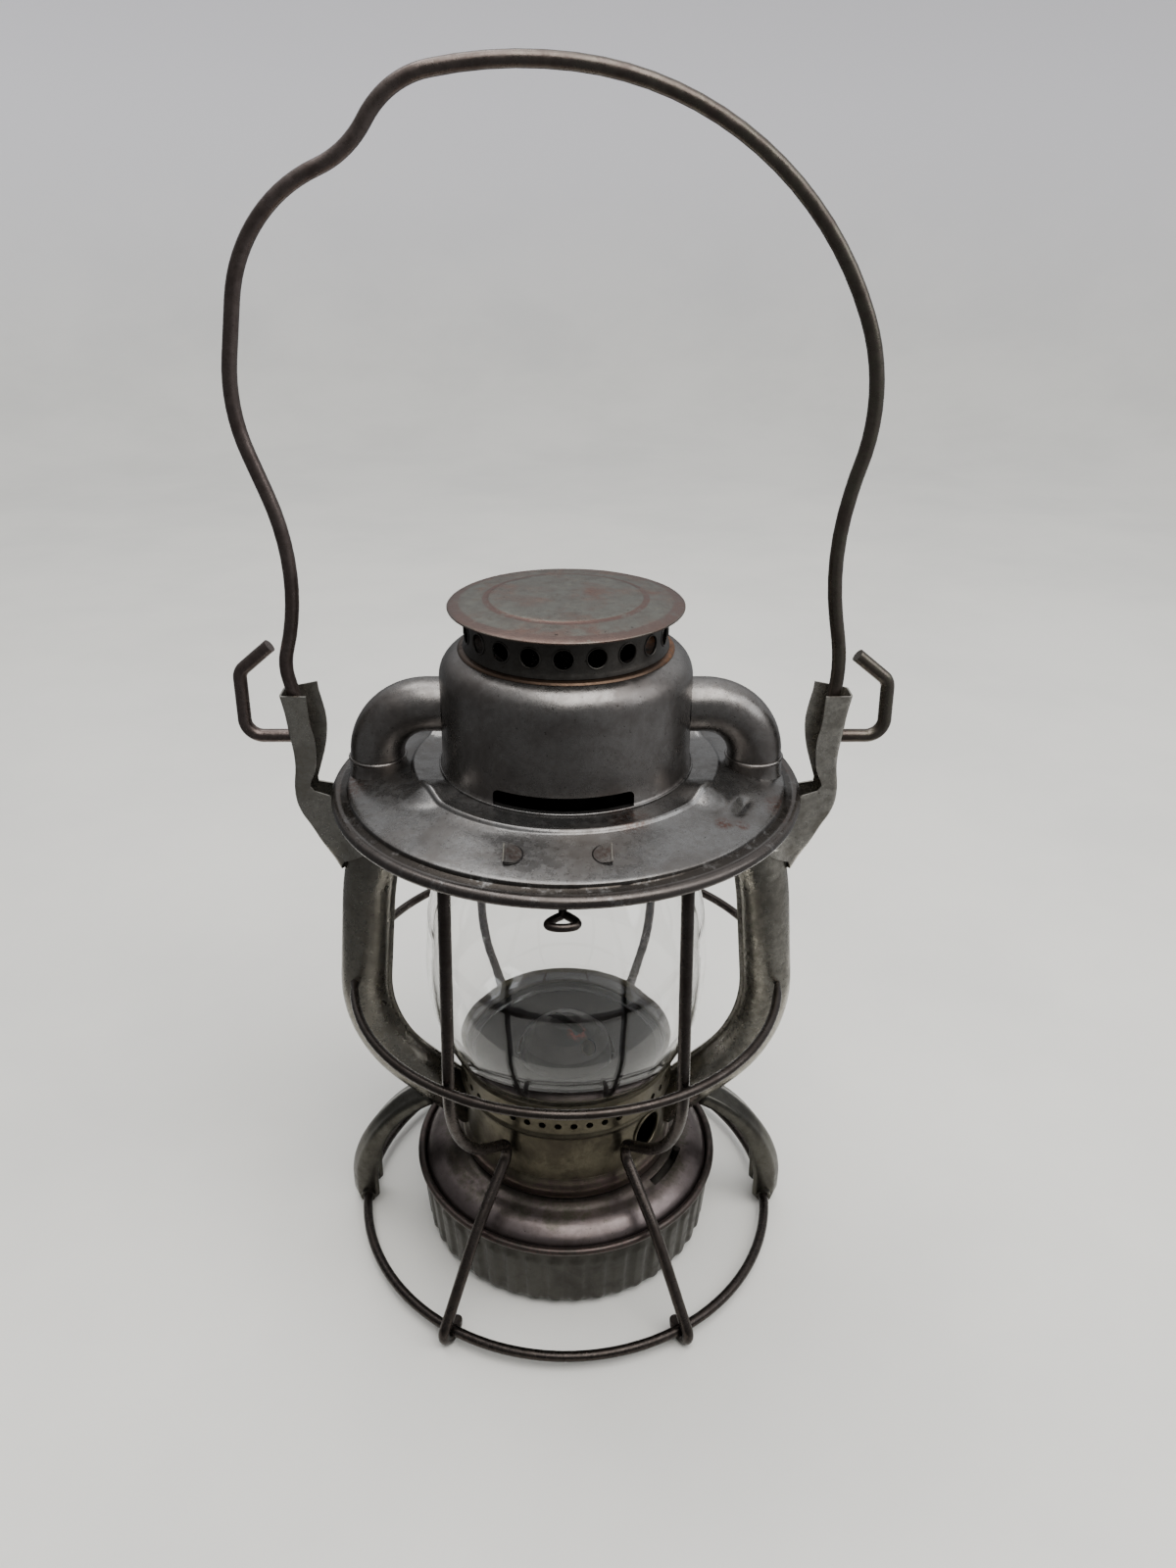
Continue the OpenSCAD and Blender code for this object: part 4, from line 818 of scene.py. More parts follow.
@dataclass
class WireGuard(Assembly):
    """The foot ring, the four guard wires and the middle ring."""

    foot_radius: float = 82.7
    foot_wire: float = 3.8
    guard_wire: float = 4.2
    wear: float = 0.15
    azimuth: float = 31.0
    top_radius: float = 68.5
    top_height: float = 194.0
    top_wire: float = 3.4
    mid_radius: float = 79.5
    mid_height: float = 116.0
    sweep_height: float = 85.0
    sweep_bend: float = 46.0
    knee: Point = (39.3, 61.0)
    bow: Point = (64.0, 38.0)

    @property
    def foot_height(self) -> float:
        """Height of the foot ring's centre line."""
        return self.guard_wire + self.foot_wire / 2 + 0.02 - self.wear

    def build(self) -> None:
        """Makes every wire of the guard."""
        ring = Form().spun(arc_line((self.foot_radius, self.foot_height), self.foot_wire / 2, 0, 345, 23), 200)
        self.dress(ring.made("foot_ring_wire"), "brown wire", Body.FRAME, "brown_wire", ["foot_ring"])
        for name, azimuth in (
            ("front_left", -self.azimuth), ("front_right", self.azimuth),
            ("rear_left", 180 + self.azimuth), ("rear_right", 180 - self.azimuth),
        ):
            wire = Form().swept(in_plane(self._guard_line(), azimuth), self.guard_wire / 2, 20)
            wire.reshaped(lambda p: Vector((p.x, p.y, max(p.z, 0.0))))
            self.dress(wire.made("guard_wire_of_" + name), "brown wire", Body.FRAME, "brown_wire", ["guard_wire_" + name])
        for name, middle in (("front", -90.0), ("rear", 90.0)):
            reach = 84.0
            count = 60
            angles = [math.radians(middle - reach + 2 * reach * i / count) for i in range(count + 1)]
            path = [Vector((self.mid_radius * math.cos(a), self.mid_radius * math.sin(a), self._mid_height(a))) for a in angles]
            half = Form().swept(path, 1.7, 18, swell=self._ring_swell)
            self.dress(half.made("middle_ring_" + name), "brown wire", Body.FRAME, "brown_wire", ["guard_ring_" + name])
        self.finishes.on_node("upper_guard_ring", "brown wire")

    @staticmethod
    def _ring_swell(share: float) -> float:
        """Thins the middle ring at its soldered ends and thickens it at a blob of solder."""
        blob = 0.22 * math.exp(-((share - 0.36) / 0.012) ** 2)
        return 1 + blob - 0.45 * (1 - smoothstep(0.0, 0.035, min(share, 1 - share)))

    def _mid_height(self, angle: float) -> float:
        """Height of the slightly bent middle ring at an angle."""
        return self.mid_height + 0.25 * math.sin(3 * angle + 0.6)

    def _guard_line(self) -> list[Point]:
        """Gives a guard wire's centre line, from its curl on the upper ring to its curled foot."""
        curl_top = (self.top_wire + self.guard_wire) / 2 + 0.02
        curl_foot = (self.foot_wire + self.guard_wire) / 2 + 0.02
        at_mid = self.mid_radius - (3.4 + self.guard_wire) / 2 - 0.1
        top = Vector((self.top_radius + curl_top, self.top_height))
        fall = self.top_height - self.sweep_height
        drift = (at_mid - top.x) / (self.top_height - self.mid_height)
        sweep = top + Vector((drift * fall, -fall))
        foot = Vector((self.foot_radius, self.foot_height))
        bow = Vector(self.bow)
        reach = (foot - bow).length
        towards = math.atan2(foot.y - bow.y, foot.x - bow.x) + math.asin(curl_foot / reach)
        touch = bow + Vector((math.cos(towards), math.sin(towards))) * math.sqrt(reach**2 - curl_foot**2)
        run = bent_path([tuple(top), tuple(sweep), self.knee, tuple(bow), tuple(touch)], [self.sweep_bend, 6, 90], 4)
        lead = math.degrees(math.atan2(touch.y - foot.y, touch.x - foot.x))
        curl = arc_line(tuple(foot), curl_foot, lead, lead - 225, 26)
        crown = arc_line((self.top_radius, self.top_height), curl_top, 232, 0, 26)
        return crown[:-1] + run + curl[1:]


@dataclass
class SideWorks(Assembly):
    """The two air tubes with their ears and strap legs."""

    tube: float = 9.0
    tube_top: Point = (65.4, 195.0)
    tube_bow: Point = (72.9, 151.0)
    tube_corner: Point = (79.0, 88.5)
    tube_bend: float = 52.0
    collar: float = 40.0
    tube_foot: float = 53.2
    foot_radius: float = 82.7
    foot_height: float = 5.97

    def build(self) -> None:
        """Makes both sides."""
        for side in Side:
            name = side.name.lower()
            self._tube(side, name)
            self._ear(side, name)
            self._strap(side, name)

    def _centre_line(self) -> list[Point]:
        """Gives the right tube's centre line as (x, z) points."""
        rise = (Vector(self.tube_top) - Vector(self.tube_bow)).normalized()
        head = Vector(self.tube_top) + rise * 12
        slope = (self.tube_corner[1] - self.tube_foot) / (self.tube_corner[0] - self.collar)
        end = (36.0, self.tube_foot - slope * (self.collar - 36.0))
        return bent_path([tuple(head), self.tube_bow, self.tube_corner, end], [120, self.tube_bend], 3)

    def _tube(self, side: Side, name: str) -> None:
        """Makes one tube with the seam along its inner edge."""
        path = [Vector((side.value * x, 0, z)) for x, z in self._centre_line()]
        form = Form().swept(path, self.tube, 44, capped=False)
        cut = Vector((side.value * 65, 0, 200.8))
        bmesh.ops.bisect_plane(
            form.bm, geom=form.bm.verts[:] + form.bm.edges[:] + form.bm.faces[:], dist=1e-5,
            plane_co=cut, plane_no=(side.value * 0.2, 0, 0.98), clear_outer=True,
        )
        piece = thickened(form.made("air_tube_" + name), 0.6)
        self.dress(piece, "tube tin", Body.FRAME, "pewter_tin", ["side_tube_" + name])
        seam: list[list[Vector]] = []
        line = [Vector((side.value * x, 0, z)) for x, z in spaced(self._centre_line(), 90)]
        for before, at, after in zip(line, line[1:], line[2:], strict=False):
            along = (after - before).normalized()
            inward = Vector((along.z, 0, -along.x)) * side.value
            if inward.x * side.value > 0:
                inward = -inward
            if at.z > 198 or abs(at.x) < 43:
                continue
            proud = 0.95 * smoothstep(43, 47, abs(at.x)) + 0.1
            low, high = at + inward * (self.tube - 0.3), at + inward * (self.tube + proud)
            width = Vector((0, 0.7, 0))
            seam.append([low - width, high - width, high - width * 0.5 + inward * 0.2, high - width * 0.1,
                         high + width * 0.5 + inward * 0.2, high + width, low + width])
        strip = Form().rows(seam, closed=True)
        bmesh.ops.holes_fill(strip.bm, edges=strip.bm.edges, sides=7)
        self.dress(strip.made("tube_seam_" + name), "tube tin", Body.FRAME, "pewter_tin")

    def _tube_x(self, z: float) -> float:
        """Distance of the tube's centre from the axis at a height on its straight part."""
        (x0, z0), (x1, z1) = self.tube_top, self.tube_bow
        return x0 + (x1 - x0) * (z0 - z) / (z0 - z1)

    def _ear(self, side: Side, name: str) -> None:
        """Makes one ear: a trough that hugs the tube at its foot."""
        web = smooth_line([
            (96.1, 229.7), (94.9, 223), (94.2, 216), (93.4, 209), (93.4, 203), (94.3, 196),
            (94.1, 190), (92.5, 185), (90, 180.5), (86.4, 173), (83.2, 166.5), (80.8, 161),
        ], 4)
        low_edge = [(88.2, 194.6), (84.0, 193.4), (80.5, 192.4), (77.5, 188), (73, 182), (60, 176), (60, 150)]
        rear = smooth_line([(85.6, 232.2), (84.2, 228), (82.6, 218.5), (83.6, 209), (86.6, 199), (87.6, 196)], 4) + low_edge
        front = smooth_line([(87, 227.9), (86.7, 220), (85.5, 212), (86.3, 203), (88.9, 196.5)], 4) + low_edge
        stations: list[list[Vector]] = []
        for x, z in web:
            row: list[Vector] = []
            for edge, y_sign in ((front, -1), (rear, 1)):
                half_row = self._ear_profile(x, z, self._edge_at(edge, z))
                count = len(half_row) - 1
                points: list[Vector] = []
                for k, (px, py) in enumerate(half_row):
                    share = k / count
                    flare = 0.6 * smoothstep(224, 232, z) * max(share - 0.4, 0.0)
                    lift = 3.6 * max(share - 0.4, 0.0) if z > 229 and y_sign > 0 else 0.0
                    drop = 11.5 * share * smoothstep(176, 161, z)
                    points.append(Vector((side.value * px, y_sign * (py + flare), z + lift + drop)))
                row += reversed(points[1:]) if y_sign < 0 else points
            stations.append(row)
        ear = thickened(Form().rows(stations).made("bail_ear_" + name), 0.7, -1.0)
        hole = Form().drum(Vector((side.value * 94, 0, 213.6)), Vector((1, 0, 0)), 2.5, 8, 24)
        self._solid(ear)
        bored(ear, hole)
        self.dress(ear, "ear tin", Body.FRAME, "pewter_tin", ["ear_" + name])

    def _ear_profile(self, x: float, z: float, inner: float) -> list[Point]:
        """Gives half of an ear's level section, from the web's middle to the wall's edge.

        Args:
            x: the web's distance from the axis.
            z: the section's height.
            inner: how near to the axis the wall comes.

        Returns:
            The section's points, the same number at every height.
        """
        half = 4.5
        corner = arc_line((x - 1.2, half - 1.2), 1.2, 0, 90, 5)
        if z < 193.6:
            target = arc_line((self._tube_x(z), 0), self.tube + 0.75, 38, 102, 14)
        else:
            target = [(60.0, half)]
        wall = [corner[-1]]
        for point in target:
            if point[0] < inner:
                (x0, y0), (x1, y1) = wall[-1], point
                share = min(max((x0 - inner) / max(x0 - x1, 1e-6), 0.02), 1.0)
                wall.append((x0 + (x1 - x0) * share, y0 + (y1 - y0) * share))
                break
            wall.append(point)
        return [(x, 0.0), (x, 1.7), *corner, *spaced(wall, 10)[1:]]

    @staticmethod
    def _solid(piece: bpy.types.Object) -> None:
        """Applies a piece's modifiers to its mesh."""
        bpy.context.view_layer.update()
        graph = bpy.context.evaluated_depsgraph_get()
        mesh = bpy.data.meshes.new_from_object(piece.evaluated_get(graph))
        piece.modifiers.clear()
        piece.data = mesh

    @staticmethod
    def _edge_at(line: Sequence[Point], z: float) -> float:
        """Reads a wall's inner edge, given top to bottom, at a height."""
        for (x0, z0), (x1, z1) in zip(line, line[1:], strict=False):
            if z1 <= z <= z0:
                return x0 + (x1 - x0) * (z0 - z) / max(z0 - z1, 1e-6)
        return line[0][0] if z > line[0][1] else line[-1][0]

    def _strap(self, side: Side, name: str) -> None:
        """Makes one ribbed strap leg with its clip round the foot ring."""
        bend = 52.5
        start = Vector((85.2, 12.4))
        line = [(85.2, 2.6), (85.2, 3.2), (85.2, 4.2), (85.2, 6.0), (85.2, 9.0)]
        line += arc_line((start.x - bend, start.y), bend, 0, 65, 28)
        stations: list[list[Vector]] = []
        for i, (x, z) in enumerate(line):
            before, after = line[max(i - 1, 0)], line[min(i + 1, len(line) - 1)]
            along = (Vector(after) - Vector(before)).normalized()
            out = Vector((along.y, -along.x)) if z > start.y else Vector((1.0, 0.0))
            deep = math.sqrt(smoothstep(1.0, 6.5, z))
            outer = 0.3 + (0.9 + 2.4 * smoothstep(50, 13, z)) * deep
            inner = 0.5 + (3.7 + 2.8 * smoothstep(54, 20, z)) * deep
            row: list[Vector] = []
            for step in range(-14, 15):
                share = abs(step) / 14
                half = 5.6 + 1.4 * smoothstep(8, 28, z)
                y = math.copysign(half * math.sin(min(share * 1.15, 1.0) * math.pi / 2), step)
                rib = 0.35 * math.cos(share * math.tau * 1.5) * deep
                push = outer - (share ** 2.4) * (outer + inner) + rib
                row.append(Vector((side.value * (x + out.x * push), y, z + out.y * push)))
            stations.append(row)
        strap = thickened(Form().rows(stations).made("strap_leg_sheet_" + name), 0.9, -1.0)
        self.dress(strap, "strap tin", Body.FRAME, "dark_tin", ["strap_leg_" + name])
        reach = math.degrees(math.asin(7.0 / self.foot_radius))
        middle = 180 if side is Side.LEFT else 0
        angles = [math.radians(middle - reach + 2 * reach * i / 8) for i in range(9)]
        path = [Vector((self.foot_radius * math.cos(a), self.foot_radius * math.sin(a), self.foot_height)) for a in angles]
        clip = Form().swept(path, 2.95, 24)
        self.dress(clip.made("strap_clip_" + name), "strap tin", Body.FRAME, "dark_tin")


@dataclass
class Base(Assembly):
    """The collar, the bell and the draft plate."""

    gallery: float = 41.0
    collar: float = 40.0
    sheet: float = 0.6
    holes: int = 44
    hole: float = 2.7
    hole_height: float = 75.3
    reach_azimuth: float = 51.0
    stud_radius: float = 46.2

    def build(self) -> None:
        """Makes the collar and the bell."""
        line = smooth_line([
            (42.6, 84.2), (42.3, 84.9), (41.6, 84.6), (41.1, 83.2), (41, 80), (41, 73), (41.1, 71.4),
            (41.7, 70.4), (41.1, 69.4), (40.1, 68.4), (40, 64), (40, 50), (40.1, 48.6), (40.7, 47.6),
            (41.6, 46.4), (42.15, 44.8), (42.2, 43.0), (42.0, 41.4), (41.2, 40.3),
        ], 3)
        collar = Form().spun(sheet_outline(line, self.sheet), 176).worn(0.15).made("collar_wall")
        drills = Form()
        for i in range(self.holes):
            a = math.tau * (i + 0.5) / self.holes
            drills.drum(Vector((41 * math.cos(a), 41 * math.sin(a), self.hole_height)),
                        Vector((math.cos(a), math.sin(a), 0)), self.hole / 2, 5, 12)
        a = math.radians(self.reach_azimuth - 90)
        drills.drum(Vector((40 * math.cos(a), 40 * math.sin(a), 60)), Vector((math.cos(a), math.sin(a), 0)), 7.5, 12, 32)
        self.dress(bored(collar, drills), "yellow tin", Body.FRAME, "yellow_tin", ["collar"])
        rim = Form().swept([
            Vector(((40.3) * math.cos(a + 7.4 / 40 * math.sin(t)), (40.3) * math.sin(a + 7.4 / 40 * math.sin(t)), 60 + 7.4 * math.cos(t)))
            for t in [math.tau * k / 40 for k in range(40)]
        ], 0.55, 10, closed=True)
        self.dress(rim.made("reach_hole_rim"), "yellow tin", Body.FRAME, "yellow_tin")
        bell_line = smooth_line([
            (38.6, 40.2), (41.5, 40.1), (44, 39.8), (46.4, 38.9), (48.2, 38.55), (50, 38.2), (52.2, 37.3), (54, 36.0),
            (55.6, 34.5), (56.6, 33.0), (57.0, 31.6), (57.1, 30.2), (57.1, 26.6),
        ], 4)
        bell = Form().spun(sheet_outline(bell_line, self.sheet), 176).worn(0.12).made("bell_dome")
        slots = Form()
        for turn in (0, 180):
            angles = [math.radians(turn + 46 - 90 + 28 * i / 16) for i in range(17)]
            slots.rows([
                [Vector((r * math.cos(a), r * math.sin(a), z)) for r, z in (
                    (self.stud_radius - 1.45, 36), (self.stud_radius + 1.45, 36),
                    (self.stud_radius + 1.45, 43), (self.stud_radius - 1.45, 43),
                )]
                for a in angles
            ], closed=True)
        bmesh.ops.holes_fill(slots.bm, edges=slots.bm.edges, sides=4)
        bored(bell, slots)
        self.dress(bell, "plum tin", Body.FRAME, "plum_tin", ["bell"])
        self.finishes.on_node("draft_plate", "soot tin")
        self.finishes.on_node("hinge_leaf_frame", "dark tin")
        self.finishes.on_node("hinge_pin", "brown wire")


@dataclass
class Globe(Assembly):
    """The barrel globe of clear glass."""

    wall: float = 2.2
    line: tuple[Point, ...] = (
        (32.5, 188.0), (33.6, 182.0), (38.5, 172.0), (49.3, 152.0), (51.9, 134.0), (52.5, 120.0),
        (50.9, 105.0), (45.8, 90.9), (39.8, 82.9), (38.4, 78.3),
    )

    def build(self) -> None:
        """Makes the glass."""
        outline = sheet_outline(smooth_line(self.line, 7), self.wall)
        glass = Form().spun(outline, 160).made("globe_glass", 60)
        self.dress(glass, "globe glass", Body.FRAME, "clear_glass", ["globe"])


@dataclass
class Hood(Assembly):
    """The hood: plate, drum, elbows, vent band and cap."""

    sheet: float = 0.6
    rim: float = 79.0
    rim_height: float = 195.9
    roll: float = 2.0
    plate_top: float = 205.4
    drum_radius: float = 42.4
    drum_top: float = 246.5
    shoulder: float = 9.5
    elbow: float = 9.3
    elbow_x: float = 65.0
    elbow_height: float = 225.4
    band: float = 33.5
    vents: int = 20
    vent: float = 3.2
    vent_height: float = 253.6
    axle_height: float = 199.7
    plate_line: tuple[Point, ...] = (
        (40.4, 205.4), (43.9, 205.35), (47.5, 205.1), (50.2, 205.15), (51.3, 205.4), (52.2, 205.5), (52.9, 205.1),
        (53.4, 204.5), (54.0, 204.2), (56.6, 203.5), (61, 202.7), (66, 201.7), (70.5, 200.85), (74.2, 200.05),
    )
    edge_line: tuple[Point, ...] = (
        (74.9, 199.8), (75.2, 199.5), (75.3, 198.9), (75.55, 198.5), (76.1, 198.3), (77.6, 198.0),
    )

    def build(self) -> None:
        """Makes every piece of the hood."""
        self._plate()
        self._drum()
        self._top()
        for side in Side:
            self._elbow(side)
        for node, finish in (
            ("rim_wire", "brown wire"), ("globe_holder", "dark tin"), ("inner_chimney", "soot tin"),
            ("hinge_leaf_hood", "dark tin"),
        ):
            self.finishes.on_node(node, finish)

    def _plate(self) -> None:
        """Makes the dished plate with its rolled rim, humps, dent and lances."""
        line = smooth_line(self.plate_line, 4) + list(self.edge_line)
        line += arc_line((self.rim, self.rim_height), self.roll, 104, -140, 26)

        def stamped(p: Vector) -> Vector:
            """Raises the four humps and presses the dent by the rim."""
            radius = math.hypot(p.x, p.y)
            if radius > 73.5:
                return p
            lift = 0.0
            for azimuth in (60, -60, 120, -120):
                a = math.radians(azimuth - 90)
                away = math.hypot(p.x - 51.6 * math.cos(a), p.y - 51.6 * math.sin(a))
                lift += 2.9 * (1 - smoothstep(1.5, 9.8, away))
            along = (p.x - 57.0) * 0.4 + (p.y + 30.0) * 0.92
            across = (p.x - 57.0) * 0.92 - (p.y + 30.0) * 0.4
            run = math.exp(-((along / 6.0) ** 4))
            lift -= 1.3 * run * math.exp(-((across / 1.7) ** 2))
            lift += 0.7 * run * math.exp(-(((across + 3.0) / 1.5) ** 2))
            return p + Vector((0, 0, lift * smoothstep(73.5, 70, radius) * smoothstep(42.6, 44.2, radius)))

        plate = Form().spun(sheet_outline(line, self.sheet), 280).reshaped(stamped).worn(0.2)
        self.dress(plate.made("hood_plate_sheet"), "plate tin", Body.HOOD, "pewter_tin", ["hood_plate"])
        for name, x, turn in (("left", -17.5, 0.0), ("right", 12.5, 180.0)):
            self._lance(name, x, turn)
            clip = Form().drum(Vector((x, -62, self.axle_height)), Vector((1, 0, 0)), 2.1, 3, 28)
            clip.block(Vector((x - 1.5, -64.1, self.axle_height)), Vector((x + 1.5, -59.9, 201.9)), 0.4, 2)
            self.dress(clip.made("latch_clip_" + name), "dark tin", Body.HOOD, "pewter_tin")

    def _lance(self, name: str, x: float, turn: float) -> None:
        """Makes one half-moon lance: its flat side is cut free and stands up as a lip. A near-black block under the lip
        and a near-black rod round the arc are painted shade, and a rod of lighter tin along the lip is a painted
        highlight.
        """
        moon = Form()
        bmesh.ops.create_circle(moon.bm, cap_ends=True, segments=44, radius=4.4)
        bmesh.ops.bisect_plane(
            moon.bm, geom=moon.bm.verts[:] + moon.bm.edges[:] + moon.bm.faces[:], dist=1e-5,
            plane_co=(-1.3, 0, 0), plane_no=(-1, 0, 0), clear_outer=True,
        )
        bmesh.ops.inset_region(moon.bm, faces=moon.bm.faces[:], thickness=0.5, depth=0.12, use_even_offset=True)
        bmesh.ops.solidify(moon.bm, geom=moon.bm.faces[:], thickness=0.5)
        for v in moon.bm.verts:
            v.co.z += 0.8 * (1 - smoothstep(-1.3, 3.6, v.co.x))
        tilt = Matrix.Translation((x, -62.0, 202.28)) @ Matrix.Rotation(math.radians(10.8), 4, "X")
        place = tilt @ Matrix.Rotation(math.radians(turn), 4, "Z")
        bmesh.ops.transform(moon.bm, matrix=place, verts=moon.bm.verts)
        self.dress(moon.made("plate_lance_" + name, 25), "plate tin", Body.HOOD, "pewter_tin")
        # Painted shade: a near-black block under the flat side and a near-black rod along the arc stand in for the
        # shadow in the cut.
        shadow_groove = [Vector((4.5 * math.cos(math.radians(a)), 4.5 * math.sin(math.radians(a)), 0.02)) for a in range(-106, 107, 4)]
        shadow_block = Form().block(Vector((-1.38, -3.9, -0.25)), Vector((-0.9, 3.9, 0.5)), 0.15, 1).swept(shadow_groove, 0.26, 8)
        bmesh.ops.transform(shadow_block.bm, matrix=place, verts=shadow_block.bm.verts)
        self.dress(shadow_block.made("lance_shadow_block_" + name), "soot tin", Body.HOOD, "pewter_tin")
        # Painted highlight: a thin rod of the lighter ear tin along the lip makes its edge read bright.
        lip = Form().swept([Vector((-1.3, y, 0.84)) for y in (-4.1, -2.0, 0.0, 2.0, 4.1)], 0.26, 10)
        bmesh.ops.transform(lip.bm, matrix=place, verts=lip.bm.verts)
        self.dress(lip.made("lance_lip_highlight_" + name), "ear tin", Body.HOOD, "pewter_tin")

    def _drum(self) -> None:
        """Makes the drum with its rounded shoulder, lip and front slot."""
        centre = (self.drum_radius - self.shoulder, self.drum_top - self.shoulder)
        foot = self.plate_top
        line = [(34.4, 245.4), (34.45, 246.0), (34.6, 246.35)]
        line += arc_line(centre, self.shoulder, 76, 0, 16)
        line += [(42.4, 230), (42.4, 220), (42.4, 211), (42.5, foot + 1.6), (42.8, foot + 0.7), (43.4, foot + 0.15)]
        drum = Form().spun(sheet_outline(line, self.sheet), 220).worn(0.16).made("drum_wall")
        slot = Form().block(Vector((-23.3, -60, foot - 4.0)), Vector((21.7, -20, foot + 5.6)), 2.0, 1)
        bored(drum, slot)
        self.dress(drum, "drum tin", Body.HOOD, "pewter_tin", ["drum"])
        hem = Form().spun(arc_line((43.35, foot + 0.25), 0.4, 0, 330, 11), 180)
        self.dress(hem.made("drum_foot_seam"), "plate tin", Body.HOOD, "pewter_tin")

    def _top(self) -> None:
        """Makes the neck ring, the vent band and the cap."""
        neck = smooth_line([(25.0, 246.9), (30, 247.0), (33.0, 247.3), (34.2, 247.2), (35.4, 246.9), (36.0, 246.2)], 3)
        ring = Form().spun(sheet_outline(neck, self.sheet), 120)
        self.dress(ring.made("heat_stained_neck"), "heat brown", Body.HOOD, "heat_brown", ["drum_neck"])
        wall = [
            (self.band - 0.2, 261.3), (self.band, 260.8), (self.band, 249.4), (self.band + 0.4, 248.6),
            (self.band + 0.7, 247.4),
        ]
        band = Form().spun(sheet_outline(wall, self.sheet), 180).made("vent_band_wall")
        drills, lips = Form(), Form()
        for i in range(self.vents):
            a = math.radians(360 * i / self.vents - 91.35)
            drills.drum(Vector((self.band * math.cos(a), self.band * math.sin(a), self.vent_height)),
                        Vector((math.cos(a), math.sin(a), 0)), self.vent, 5, 28)
            lip = []
            for k in range(24):
                t = math.tau * k / 24
                b = a + (self.vent + 0.15) * math.cos(t) / self.band
                lip.append(Vector((self.band * math.cos(b), self.band * math.sin(b),
                                   self.vent_height + (self.vent + 0.15) * math.sin(t))))
            lips.swept(lip, 0.3, 8, closed=True)
        self.dress(bored(band, drills), "dark tin", Body.HOOD, "dark_tin", ["vent_band"])
        self.dress(lips.made("vent_lips"), "dark tin", Body.HOOD, "dark_tin")
        dome = smooth_line([
            (0, 263.75), (8, 263.7), (18, 263.5), (24, 263.25), (25.3, 263.0), (26.4, 262.75), (32.5, 262.2),
            (36.6, 261.6), (38.2, 261.2), (38.85, 260.8), (38.7, 260.3),
        ], 3)
        cap = Form().spun(sheet_outline(dome, self.sheet), 180).worn(0.2, 0.06)
        self.dress(cap.made("cap_dome"), "cap tin", Body.HOOD, "stained_cap", ["cap"])

    def _elbow(self, side: Side) -> None:
        """Makes one elbow and its ferrule."""
        name = side.name.lower()
        path = bent_path([(self.elbow_x, 200.0), (self.elbow_x, self.elbow_height), (41.6, self.elbow_height)], [18], 4)
        pipe = Form().swept([Vector((side.value * x, 0, z)) for x, z in path], self.elbow, 48)
        line = [
            (9.35, 206.9), (9.8, 206.85), (10.1, 206.5), (9.85, 206.1), (9.75, 205.4), (9.75, 203.2),
            (9.8, 201.5), (10.15, 200.0),
        ]
        plate = smooth_line(self.plate_line, 4)

        def seated(p: Vector) -> Vector:
            """Lets the pipe's and the ferrule's feet follow the plate."""
            surface = height_on(plate, math.hypot(p.x, p.y))
            return Vector((p.x, p.y, max(p.z, surface - 0.4)))

        pipe.reshaped(seated)
        self.dress(pipe.made("elbow_pipe_" + name), "drum tin", Body.HOOD, "pewter_tin", ["elbow_" + name])
        ring = Form().spun(sheet_outline(line, 0.5), 72, (side.value * self.elbow_x, 0)).reshaped(seated)
        self.dress(ring.made("ferrule_ring_" + name), "drum tin", Body.HOOD, "dark_tin", ["ferrule_" + name])


@dataclass
class Latch(Assembly):
    """The latch wire with its finger eye."""

    wire: float = 2.6
    axle: Point = (62.0, 199.7)
    arm: float = 73.6
    across: float = -1.0
    eye: float = 4.2
    eye_height: float = 188.0

    def build(self) -> None:
        """Makes the axle, the arm and the eye as one wire."""
        path = bent_path([self.axle, (self.arm, 198.0), (self.arm, self.eye_height + 0.4)], [2], 12)
        arm = [Vector((self.across, -y, z)) for y, z in path]
        loop: list[Vector] = []
        for i in range(36):
            t = math.radians(90 + 345 * i / 35)
            loop.append(Vector((self.across + 1.48 * self.eye * math.cos(t) * (0.62 - 0.38 * math.sin(t)),
                                -self.arm - 0.83 * self.eye * (1 - math.sin(t)),
                                self.eye_height - 0.1 + 0.6 * i / 35)))
        form = Form().swept(arm, self.wire / 2, 16).swept(loop, self.wire / 2, 16)
        axle = [Vector((x, -self.axle[0], self.axle[1])) for x in (-20.0, 15.0)]
        form.swept(axle, self.wire / 2, 16)
        self.dress(form.made("latch_wire_bent"), "brown wire", Body.LATCH, "brown_wire", ["latch_wire"])


@dataclass
class Bail(Assembly):
    """The carrying bail: one wire from hook to hook."""

    wire: float = 4.6
    pivot: float = 213.6
    left_hook: tuple[Point, ...] = ((-98.2, 246.2), (-109.3, 237.0), (-109.7, 213.6), (-88.8, 213.6))
    arch: tuple[Point, ...] = (
        (-94, 239.6), (-84.5, 270.6), (-102.4, 322.1), (-92.8, 377.2), (-60.6, 390.1), (-48.5, 408.1),
        (-17.6, 413.7), (64.1, 405.1), (97.5, 326.1), (90.2, 301.9), (84.5, 276.1), (91.7, 239.6),
    )
    bends: tuple[float, ...] = (82, 56, 45, 30, 27, 138, 105, 64, 47, 98)
    right_hook: tuple[Point, ...] = ((88.8, 213.6), (108.9, 213.6), (108.2, 233.8), (97.0, 242.8))

    def build(self) -> None:
        """Bends the wire and lets it spring in as it leaves the ears."""
        corners = [*self.left_hook, *self.arch, *self.right_hook]
        bends = [5, 6, 2.9, 20, *self.bends, 60, 2.9, 6, 5]
        path = bent_path(corners, bends, 4)
        wire = Form().swept([Vector((x, 0, z)) for x, z in path], self.wire / 2, 24)
        piece = wire.made("bail_wire")
        self.dress(piece, "bail wire", Body.BAIL, "brown_wire", ["bail", "bail_leg_springs", "bail_hooks"])
        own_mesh(piece)


